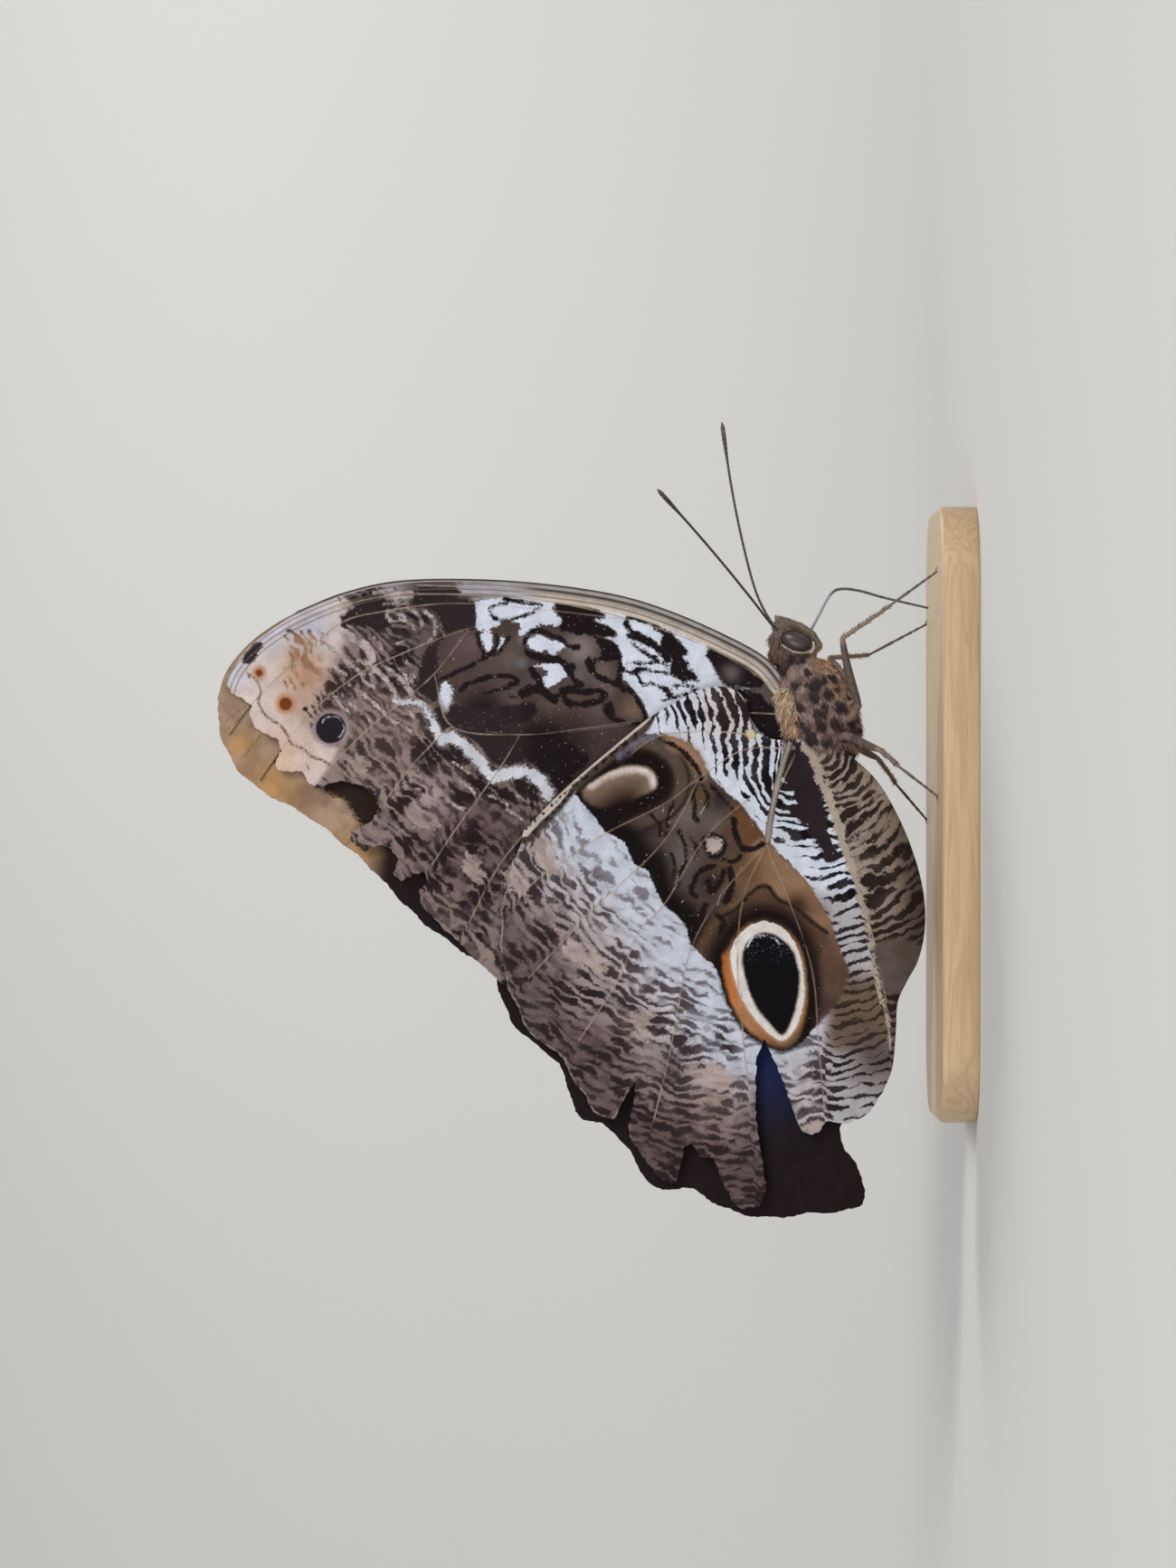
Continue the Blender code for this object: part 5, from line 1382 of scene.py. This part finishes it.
def grow(name, roots, normals, lie, length, width, lift, colours):
    """Tapered blades from roots, lying along a direction."""
    count = len(roots)
    lie = unit(lie - normals * np.sum(lie * normals, axis=1)[:, None])
    lie = unit(lie + chance.normal(0, 0.16, (count, 3)))
    side = unit(np.cross(lie, normals))
    rise = unit(lie * np.cos(lift)[:, None] + normals * np.sin(lift)[:, None])
    length, width = length[:, None], width[:, None]
    foot = roots - normals * width * 1.2
    knee = roots + rise * length * 0.5
    tip = roots + rise * length - normals * length * DROOP * np.sin(lift)[:, None]
    points = np.stack([
        foot + side * width, foot - side * width, foot + normals * width,
        knee + side * width * 0.8, knee - side * width * 0.8, knee + normals * width * 0.7, tip], 1)
    mesh = bpy.data.meshes.new(name)
    faces = BLADE[None] + 7 * np.arange(count)[:, None, None]
    corners = np.where(BLADE[None] < 0, -1, faces).reshape(-1, 4)
    totals = np.tile((BLADE >= 0).sum(axis=1), count)
    flat = corners[corners >= 0]
    mesh.vertices.add(count * 7)
    mesh.vertices.foreach_set("co", points.astype(np.float32).ravel())
    mesh.loops.add(len(flat))
    mesh.loops.foreach_set("vertex_index", flat.astype(np.int32))
    mesh.polygons.add(len(totals))
    starts = np.concatenate([[0], np.cumsum(totals)[:-1]])
    mesh.polygons.foreach_set("loop_start", starts.astype(np.int32))
    mesh.polygons.foreach_set("loop_total", totals.astype(np.int32))
    mesh.update(calc_edges=True)
    mesh.shade_smooth()
    mesh.materials.append(HAIR_COAT)
    tone = np.repeat(colours * chance.uniform(0.78, 1.2, (count, 1)), 7, axis=0)
    # painted shade along each blade, darker at the foot and lighter at the tip
    tone *= np.tile(BLADE_SHADE, count)[:, None]
    store(mesh, "tint", np.clip(tone, 0, 255))
    spots = np.clip(unroll(roots), 0.002, 0.998)[:, None, :] + BLADE_MAP[None]
    write_map(mesh, spots.reshape(-1, 2)[flat])
    add_piece(name, mesh)


def coat(name, count, wanted, length, width, lift, lie, tone=body_colour, spread=0.25):
    """Sow and grow one area of the body's hair, its sizes in mm and its lift in degrees."""
    roots, normals = sow(count, wanted)
    vary = chance.uniform(1 - spread, 1 + spread, len(roots))
    colours = tone(roots)
    grow(name, roots, normals, lie(roots), length * MM * vary,
         width * MM * chance.uniform(0.8, 1.2, len(roots)),
         np.radians(lift) * chance.uniform(0.5, 1.5, len(roots)), colours)
    print(name, len(roots), "tufts")


def backward(roots):
    """Hair lies toward the tail and a little down the sides."""
    return np.tile((-1.0, 0.0, -0.25), (len(roots), 1))


def over_wing(roots):
    """Half of the strands fall back and down, half lie out over the wing's root."""
    out = chance.random(len(roots)) < 0.5
    lie = np.zeros_like(roots)
    lie[:, 0], lie[:, 1] = np.where(out, -0.7, -1.0), np.sign(roots[:, 1]) * 0.12
    lie[:, 2] = np.where(out, 0.9, 0.1) + chance.normal(0, 0.2, len(roots))
    return lie


def forward(roots):
    """The palps' hair points forward and up."""
    return np.tile((0.75, 0.0, 0.65), (len(roots), 1))


def at(low_v, high_v, low_u=0, high_u=2000, soft=6):
    """A wanted share: 1 between side-view limits, fading over a few pixels."""
    def share(places):
        u, v = to_picture(places).T
        return (ease(low_v - soft, low_v + soft, v) * ease(high_v + soft, high_v - soft, v)
                * ease(low_u - soft, low_u + soft, u) * ease(high_u + soft, high_u - soft, u))
    return share


coat("thorax_hair_short", 34000, at(712, 850), 0.62, 0.045, 17, backward)
coat("thorax_hair_long", 4500, at(732, 842, 916, 2000), 1.3, 0.035, 26, backward)
coat("abdomen_hair", 17000, at(842, 1200), 0.7, 0.045, 14, backward)
coat("head_hair", 15000, at(600, 730, 845), 0.36, 0.034, 20, backward)
coat("palp_hair", 17000, at(600, 716, 845, 915), 0.42, 0.032, 26, forward)

# %% Wing-root tufts and neck
TUFT_PLACES = [(846, 764), (872, 761), (878, 782), (881, 808), (870, 814), (862, 802), (856, 786), (848, 774)]


def tufted(places):
    """Wanted share inside the tuft's outline, on the flanks only."""
    return ease(-3, 4, depth_in(to_picture(places), TUFT_PLACES)) * (np.abs(places[:, 1]) > 1.0 * MM)


def tuft_colour(roots):
    """Strands of pale gold, orange and a little brown."""
    pick = chance.random(len(roots))[:, None]
    gold, orange, brown = (np.array(c, float) for c in ((246, 214, 184), (222, 170, 130), (140, 104, 84)))
    low = ease(776, 800, to_picture(roots)[:, 1])[:, None]
    return np.where(pick < 0.60 - 0.35 * low, gold, np.where(pick < 0.90 - 0.12 * low, orange, brown))


def neck_colour(roots):
    """The collar's reddish brown, darker strand by strand."""
    return np.array((138, 106, 92), float) * chance.uniform(0.6, 1.15, (len(roots), 1))


coat("wing_root_tufts", 90000, tufted, 1.45, 0.045, 22, over_wing, tuft_colour, 0.45)
coat("neck_tufts", 22000, at(704, 730, 842, 872), 0.95, 0.045, 30, backward, neck_colour)

# %% [markdown]
# The eyes stay separate from the skin. Each is a dark, glossy egg, dense with facets, which are
# too small to model one by one, so a cell pattern in the bump gives them.

# %% Eyes
EYE_PLACE, EYE_OUT, EYE_RADII, EYE_LEAN = (880, 709), 1.9, (1.28, 1.22, 2.16), radians(18)
EYE_TURNS, EYE_ROWS = 56, 40


def eye_finish():
    paint = Paint("compound eye", 0.3)
    where = paint.node("ShaderNodeTexCoord").outputs["Object"]
    bands = paint.field("band")
    shake = paint.times(paint.noise(where, 1500.0, 2.0), 0.5, bands)
    wave = paint.math("PINGPONG", paint.times(shake, 3.2), 0.5)
    paint.colour = paint.mix(paint.step(wave, 0.2, 0.4), (44, 34, 33), (68, 55, 51))
    cells = paint.node("ShaderNodeTexVoronoi", {"Vector": where, "Scale": 9000.0}).outputs["Distance"]
    paint.shader.inputs["Coat Weight"].default_value = 0.35
    paint.shader.inputs["Coat Roughness"].default_value = 0.12
    return paint.finish(cells, 0.00002)


def leaned(along, up):
    """Side-view places of an eye's own forward and upward distances."""
    x, z = to_plane(EYE_PLACE)
    return x + along * cos(EYE_LEAN) + up * sin(EYE_LEAN), z + up * cos(EYE_LEAN) - along * sin(EYE_LEAN)


def ring_faces(rings, count):
    """Four-sided faces between rings of points, each ring closed on itself."""
    return [(i * count + k, i * count + (k + 1) % count, (i + 1) * count + (k + 1) % count,
             (i + 1) * count + k) for i in range(rings - 1) for k in range(count)]


def make_eye(label, side):
    """A ball of rings whose doubled points at both poles are merged."""
    places = []
    for p in np.arange(EYE_ROWS + 1) * pi / EYE_ROWS:
        for i in range(EYE_TURNS):
            t = 2 * pi * i / EYE_TURNS
            x, z = leaned(sin(p) * cos(t) * EYE_RADII[0] * MM, cos(p) * EYE_RADII[2] * MM)
            places.append((x, side * EYE_OUT * MM + sin(p) * sin(t) * EYE_RADII[1] * MM, z))
    faces = [(a, d, c, b) for a, b, c, d in ring_faces(EYE_ROWS + 1, EYE_TURNS)]
    eye = make_piece("eye_" + label + "_facets", places, faces, EYE_FINISH)
    work = bmesh.new()
    work.from_mesh(eye.data)
    bmesh.ops.remove_doubles(work, verts=work.verts, dist=1e-7)
    bmesh.ops.recalc_face_normals(work, faces=work.faces)
    work.to_mesh(eye.data)
    work.free()
    x, z = to_plane(EYE_PLACE)
    band = [((v.co.x - x) * cos(EYE_LEAN) - (v.co.z - z) * sin(EYE_LEAN)) / (EYE_RADII[0] * MM)
            for v in eye.data.vertices]
    store(eye.data, "band", band)
    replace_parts(eye, "eye_" + label)


EYE_FINISH = eye_finish()
for label, side in (("left", 1), ("right", -1)):
    make_eye(label, side)


def eye_rim(name, side, turns, tone, count, length):
    """Short flat scales set round part of an eye."""
    t = radians(turns[0]) + radians(turns[1] - turns[0]) * chance.random(count)
    x, z = leaned(np.cos(t) * (EYE_RADII[0] + 0.10) * MM, np.sin(t) * (EYE_RADII[2] + 0.10) * MM)
    roots = np.column_stack([x, np.full(count, side * (EYE_OUT + 0.28) * MM), z])
    roots += chance.normal(0, 0.05 * MM, roots.shape)
    x, z = to_plane(EYE_PLACE)
    outward = unit(roots - np.array((x, side * 0.6 * MM, z)))
    lie = np.tile((-0.4, side * 0.5, -0.6), (count, 1))
    grow(name, roots, outward, lie, np.full(count, length * MM), np.full(count, 0.04 * MM),
         np.full(count, 0.35), np.tile(np.array(tone, float), (count, 1)))


for label, side in (("left", 1), ("right", -1)):
    eye_rim("eye_rim_" + label, side, (134, 236), (206, 196, 190), 460, 0.34)
    eye_rim("eye_corner_" + label, side, (226, 302), (210, 200, 192), 560, 0.56)
    eye_rim("eye_brow_" + label, side, (-95, 118), (112, 100, 92), 420, 0.3)

# %% [markdown]
# Feelers, tongue and legs are jointed tubes of a hard shell. A curve with a bevel gives a plain
# tube, but the joints, bristles and claws need a radius of their own at each ring, so the tubes
# are lofted ring by ring.

# %% Jointed limbs
SIDES = 14
MIDDLE = np.array((650, 866))


def limb_points(path, side=1.0):
    """Places off the middle plane, moved so that the side view still shows them at their pixel."""
    out = []
    for u, v, y in path:
        y = y * MM * side
        x, z = to_plane(MIDDLE + (np.array((u, v)) - MIDDLE) * (1 + y / VIEW_DISTANCE))
        out.append((float(x), y, float(z)))
    return np.array(out)


def loft(line, radii, sides=SIDES):
    """Rings along a line, closed at both ends: places, faces and each point's run."""
    ahead = unit(np.gradient(line, axis=0))
    guide = np.array((0.0, 1.0, 0.0)) if abs(ahead[0][1]) < 0.9 else np.array((1.0, 0.0, 0.0))
    places, last = [], len(line) * sides
    for p, a, r in zip(line, ahead, radii):
        guide = guide - a * (guide @ a)
        guide /= np.linalg.norm(guide)
        other = np.cross(a, guide)
        for k in range(sides):
            t = 2 * pi * k / sides
            places.append(p + r * (guide * cos(t) + other * sin(t)))
    places += [line[0] - ahead[0] * radii[0] * 0.5, line[-1] + ahead[-1] * radii[-1] * 0.5]
    faces = ring_faces(len(line), sides)
    faces += [(last, (k + 1) % sides, k) for k in range(sides)]
    faces += [(last + 1, last - sides + k, last - sides + (k + 1) % sides) for k in range(sides)]
    return np.array(places), faces


def limb_finish(name, dark, pale, roughness=0.5):
    """Hard shell under fine scales, darker and paler by its stored tone."""
    paint = Paint(name, roughness)
    where = paint.node("ShaderNodeTexCoord").outputs["Object"]
    shake = paint.times(paint.noise(where, 1600.0, 3.0), 0.7, paint.field("tone"))
    paint.colour = paint.mix(paint.step(shake, 0.15, 1.1), dark, pale)
    grain = paint.speckle(where, 6000.0, 0.2)
    return paint.finish(grain, 0.00003)


class Limb:
    """Collects the rings, joints and bristles of one limb into a single mesh."""

    def __init__(self):
        self.places, self.faces, self.tone = [], [], []

    def add(self, line, radii, tone, sides=SIDES):
        places, faces = loft(line, radii, sides)
        start = len(self.places)
        self.places += list(places)
        self.faces += [tuple(i + start for i in f) for f in faces]
        tones = np.linspace(*tone, len(line)) if len(tone) == 2 else tone
        self.tone += [*np.repeat(tones, sides), tones[0], tones[-1]]

    def bristles(self, line, radii, count, length, lean):
        """Short spines that stand off a segment and point down it."""
        for i in range(count):
            k = int(chance.integers(1, len(line) - 1))
            ahead = unit((line[k + 1] - line[k - 1])[None])[0]
            side = unit(np.cross(ahead, chance.normal(size=3))[None])[0]
            out = unit((side + ahead * lean)[None])[0]
            root = line[k] + side * radii[k] * 0.6
            size = length * chance.uniform(0.7, 1.2)
            self.add(np.array([root, root + out * size * 0.5, root + out * size]),
                     [0.035 * MM, 0.024 * MM, 0.006 * MM], (0.1, 0.2), 4)

    def piece(self, name, finish, node):
        made = make_piece(name, self.places, self.faces, finish)
        store(made.data, "tone", self.tone)
        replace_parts(made, node)


HORN = limb_finish("leg shell", (56, 50, 56), (136, 114, 98))
FEELER = limb_finish("feeler shell", (34, 27, 27), (92, 76, 68), 0.42)

# %% Feelers and tongue
ANTENNAE = {
    "right": [
        (864, 700, -0.9), (852, 689, -1.6), (830, 661, -4.0), (800, 624, -7.4), (765, 583, -11.0),
        (727, 541, -14.6)],
    "left": [
        (866, 700, 0.9), (853, 688, 1.4), (836, 655, 2.6), (821, 600, 4.4), (808, 535, 6.6),
        (798, 467, 8.8)],
}
for label, path in ANTENNAE.items():
    line = curve(limb_points(path), 0.09 * MM)
    share = np.linspace(0, 1, len(line))
    club = ease(0.80, 0.94, share)
    radii = (0.165 + 0.13 * club) * MM * (1 - 0.6 * ease(0.975, 1.0, share))
    radii *= 1 + 0.35 * ease(0.03, 0.0, share)
    joints = np.abs(np.sin(pi * share * 46))
    radii *= 0.88 + 0.12 * joints ** 0.35
    feeler = Limb()
    feeler.add(line, radii, 0.05 + 0.5 * (joints < 0.3) + 0.35 * ease(0.9, 1.0, share), 12)
    feeler.piece("antenna_" + label + "_joints", FEELER, "antenna_" + label)
PROBOSCIS_PATH = [
    (886, 716, 0.0), (894, 701, 0.0), (905, 680, 0.0), (918, 657, 0.0), (930, 651, 0.0), (950, 653, 0.0),
    (975, 660, 0.0), (1000, 666, 0.0), (1026, 672, 0.0)]
line = curve(limb_points(PROBOSCIS_PATH), 0.12 * MM)
share = np.linspace(0, 1, len(line))
tongue = Limb()
tongue.add(line, (0.22 - 0.08 * share) * MM, 0.95 - 0.9 * ease(0.30, 0.42, share))
tongue.piece("proboscis_tube", limb_finish("tongue shell", (38, 30, 31), (150, 148, 156), 0.4), "proboscis")
print("feelers and tongue made")

# %% [markdown]
# A leg has a thick thigh, a thinner shin with spines, and a foot of five small joints that ends
# in two claws. Only four legs walk: the front pair are folded brushes against the chest.

# %% Legs
LEGS = {
    "mid_leg_right": [
        (926, 800, -2.2), (942, 792, -3.4), (949, 778, -4.4), (931, 705, -8.6), (984, 669, -10.6),
        (1027, 632, -11.9)],
    "mid_leg_left": [
        (924, 792, 2.2), (936, 784, 3.4), (940, 773, 4.4), (917, 727, 8.4), (960, 724, 12.6),
        (1027, 690, 14.6)],
    "hind_leg_right": [
        (924, 816, -2.4), (934, 813, -3.6), (942, 815, -4.6), (973, 829, -9.4), (992, 846, -12.0),
        (1027, 880, -14.2)],
    "hind_leg_left": [
        (924, 820, 2.4), (934, 818, 3.6), (942, 820, 4.6), (970, 838, 9.6), (990, 866, 12.2),
        (1027, 906, 14.0)],
}
FOOT_JOINTS, FLOOR_GAP = (0.0, 0.42, 0.60, 0.74, 0.87, 1.0), 0.28 * MM


def stretch(a, b, step=0.12 * MM, bow=0.0):
    """Points from a to b, bowed a little, and their share of the way."""
    share = np.linspace(0, 1, max(4, round(np.linalg.norm(b - a) / step)))
    line = a + (b - a) * share[:, None]
    line[:, 2] += np.sin(pi * share) * bow
    return line, share


def make_walking_leg(name, path):
    points = limb_points(path)
    points[-1][2] = BASE_TOP - 0.3 * MM + FLOOR_GAP
    coxa, joint, hip, knee, ankle, toe = points
    leg = Limb()
    for a, b in ((coxa, joint), (joint, hip)):
        line, share = stretch(a, b)
        leg.add(line, (0.62 - 0.1 * share) * MM, (0.3, 0.3))
    line, share = stretch(hip, knee, bow=0.25 * MM)
    radii = (0.36 + 0.22 * np.sin(pi * share ** 0.8) ** 0.7 - 0.06 * share) * MM
    leg.add(line, radii, 0.15 + 0.75 * ease(0.86, 1.0, share))
    leg.bristles(line, radii, 110, 0.36 * MM, 1.3)
    line, share = stretch(knee, ankle, bow=-0.1 * MM)
    radii = (0.30 - 0.07 * share + 0.05 * ease(0.08, 0.0, share)) * MM
    leg.add(line, radii, 0.85 - 0.35 * share)
    leg.bristles(line, radii, 150, 0.5 * MM, 1.0)
    for k, (start, end) in enumerate(zip(FOOT_JOINTS, FOOT_JOINTS[1:])):
        line, share = stretch(ankle + (toe - ankle) * (start + 0.01), ankle + (toe - ankle) * end)
        radii = (0.155 + 0.045 * share) * (1 - 0.05 * k) * MM
        leg.add(line, radii, (0.35, 0.1))
        leg.bristles(line, radii, 9, 0.2 * MM, 1.0)
    ahead = toe - ankle
    ahead[2] = 0
    ahead = ahead / np.linalg.norm(ahead)
    for spread in (-1, 1):
        side = np.cross(ahead, (0, 0, 1.0)) * spread
        bend = np.array([toe, toe + (ahead * 0.35 + side * 0.18) * MM + np.array((0, 0, 0.06 * MM)),
                         toe + (ahead * 0.62 + side * 0.26) * MM - np.array((0, 0, 0.12 * MM))])
        line = curve(bend, 0.07 * MM)
        leg.add(line, np.linspace(0.085, 0.015, len(line)) * MM, (0.0, 0.0), 8)
    leg.piece(name + "_joints", HORN, name)


for name, path in LEGS.items():
    make_walking_leg(name, path)
FORELEG_PATH = [
    (918, 782, -1.8), (944, 775, -2.3), (943, 763, -2.3), (936, 750, -2.2), (927, 738, -2.0),
    (918, 728, -1.7)]
for label, side in (("right", 1.0), ("left", -1.0)):
    line = curve(limb_points(FORELEG_PATH, side), 0.12 * MM)
    share = np.linspace(0, 1, len(line))
    radii = (0.36 - 0.16 * share) * MM * ease(1.02, 0.93, share) + 0.03 * MM
    brush = Limb()
    brush.add(line, radii, (0.5, 0.3))
    brush.bristles(line, radii, 260, 0.55 * MM, 1.6)
    brush.piece("foreleg_" + label + "_brush", HORN, "foreleg_" + label)
print("legs made:", len(LEGS) + 2)

# %% [markdown]
# The base gives the butterfly something flat to stand on. It is a rounded slab of pale wood
# with a softened edge, lofted from rings of the same outline.

# %% Display base
BASE_SIZE, BASE_CORNER = (78 * MM, 44 * MM), 10 * MM
BASE_EDGE, BASE_HEIGHT = 0.6 * MM, BASE_TOP - 0.3 * MM


def rounded(inset, steps=20):
    """A rounded rectangle, drawn in by an inset."""
    x, y, r = BASE_SIZE[0] / 2 - BASE_CORNER, BASE_SIZE[1] / 2 - BASE_CORNER, BASE_CORNER - inset
    ring = []
    for k, (sx, sy) in enumerate(((1, 1), (-1, 1), (-1, -1), (1, -1))):
        for i in range(steps + 1):
            t = pi / 2 * (k + i / steps)
            ring.append((sx * x + r * cos(t), sy * y + r * sin(t)))
    return ring


def wood_finish():
    """Long grain along the base, with growth bands and fine pores."""
    paint = Paint("pale satin wood", 0.42)
    where = paint.node("ShaderNodeTexCoord").outputs["Object"]
    long_grain = paint.node("ShaderNodeMapping", {0: where, 3: (9.0, 190.0, 190.0)}).outputs[0]
    pores = paint.node("ShaderNodeMapping", {0: where, 3: (300.0, 5200.0, 5200.0)}).outputs[0]
    bands = paint.noise(long_grain, 1.0, 4.0, 0.8)
    grain = paint.noise(pores, 1.0, 3.0)
    wave = paint.math("PINGPONG", paint.times(bands, 9.0, paint.times(grain, 0.35)), 0.5)
    paint.colour = paint.mix(paint.step(wave, 0.0, 0.5), (192, 162, 124), (204, 176, 138))
    paint.coat(paint.step(grain, 0.60, 0.72), paint.mix(0.4, paint.colour, (160, 126, 90)))
    return paint.finish(grain, 0.00004)


levels = [(0.25 * MM, 0.0), (0.0, 0.25 * MM), (0.0, BASE_HEIGHT - BASE_EDGE)]
levels += [(BASE_EDGE * (1 - cos(t)), BASE_HEIGHT - BASE_EDGE * (1 - sin(t)))
           for t in np.linspace(0.2, pi / 2, 7)]
rings = [[(x, y, z) for x, y in rounded(inset)] for inset, z in levels]
count = len(rings[0])
faces = ring_faces(len(rings), count)
faces += [tuple(reversed(range(count))), tuple(range((len(rings) - 1) * count, len(rings) * count))]
base = make_piece("stand_base_wood", sum(rings, []), faces, wood_finish())
base.data.set_sharp_from_angle(angle=radians(50))
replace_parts(base, "stand_base")
print("base", [round(s * 1000) for s in BASE_SIZE], "mm")

# %% [markdown]
# The camera looks level across the model from the photograph's side. In the photograph the
# butterfly's head points up, so here, where it stands on its base, the camera is rolled a
# quarter turn.

# %% Camera
PICTURE_WIDTH, PICTURE_HEIGHT = 1300, 1733
view = bpy.data.cameras.new("view")
view.sensor_width = 36.0
view.lens = 36.0 * VIEW_DISTANCE / (PICTURE_HEIGHT * PIXEL)
view.clip_start = 0.05
camera = add_object("view", view)
middle_x, middle_z = to_plane((PICTURE_WIDTH / 2, PICTURE_HEIGHT / 2))
right, up, back = Vector((0, 0, -1)), Vector((1, 0, 0)), Vector((0, -1, 0))
camera.matrix_world = Matrix.Translation((middle_x, -VIEW_DISTANCE, middle_z)) @ Matrix(
    (right, up, back)).transposed().to_4x4()
bpy.context.scene.camera = camera
print("lens", round(view.lens), "mm")

# %% [markdown]
# A studio sweep is a floor that curves up into a wall, so that no line shows behind the model.
# A ring of profile points is extruded sideways.

# %% Floor, backdrop and lights
SWEEP_HALF, SWEEP_FRONT, SWEEP_BACK, SWEEP_BEND, SWEEP_TOP = 4.0, -4.0, 0.15, 2.2, 4.5


def sweep():
    profile = [(SWEEP_FRONT, 0.0)]
    profile += [(SWEEP_BACK + SWEEP_BEND * sin(a), SWEEP_BEND * (1 - cos(a)))
                for a in np.linspace(0, pi / 2, 25)]
    profile.append((SWEEP_BACK + SWEEP_BEND, SWEEP_TOP))
    places = [(x, y, z) for y, z in profile for x in (-SWEEP_HALF, SWEEP_HALF)]
    faces = [(2 * i, 2 * i + 1, 2 * i + 3, 2 * i + 2) for i in range(len(profile) - 1)]
    mesh = bpy.data.meshes.new("sweep")
    mesh.from_pydata(places, [], faces)
    mesh.shade_smooth()
    paint = Paint("pale paper", 0.9)
    where = paint.node("ShaderNodeTexCoord").outputs["Object"]
    paint.colour = paint.mix(paint.noise(where, 3.0, 2.0), (214, 213, 210), (218, 217, 215))
    mesh.materials.append(paint.finish(paint.noise(where, 900.0, 2.0), 0.00005))
    add_object("sweep", mesh)


def soft_light(name, place, aim, size, power, colour=(1, 1, 1)):
    lamp = bpy.data.lights.new(name, "AREA")
    lamp.shape, lamp.size, lamp.energy, lamp.color = "DISK", size, power, colour
    light = add_object(name, lamp)
    light.location = place
    light.rotation_euler = (Vector(aim) - Vector(place)).to_track_quat("-Z", "Y").to_euler()


sweep()
soft_light("key", (0.8, -1.1, 0.75), (0, 0, 0.05), 0.7, 11.0, (1.0, 0.985, 0.96))
soft_light("fill", (-0.7, -1.2, 0.4), (0, 0, 0.05), 1.0, 6.0, (0.97, 0.985, 1.0))
soft_light("rim", (0.4, 0.9, 0.9), (0, 0, 0.05), 0.6, 5.0)
world = bpy.data.worlds.new("studio")
world.use_nodes = True
world.node_tree.nodes["Background"].inputs["Color"].default_value = (1.0, 1.0, 1.0, 1)
world.node_tree.nodes["Background"].inputs["Strength"].default_value = 0.39
bpy.context.scene.world = world
bpy.context.scene.view_settings.view_transform = "Standard"
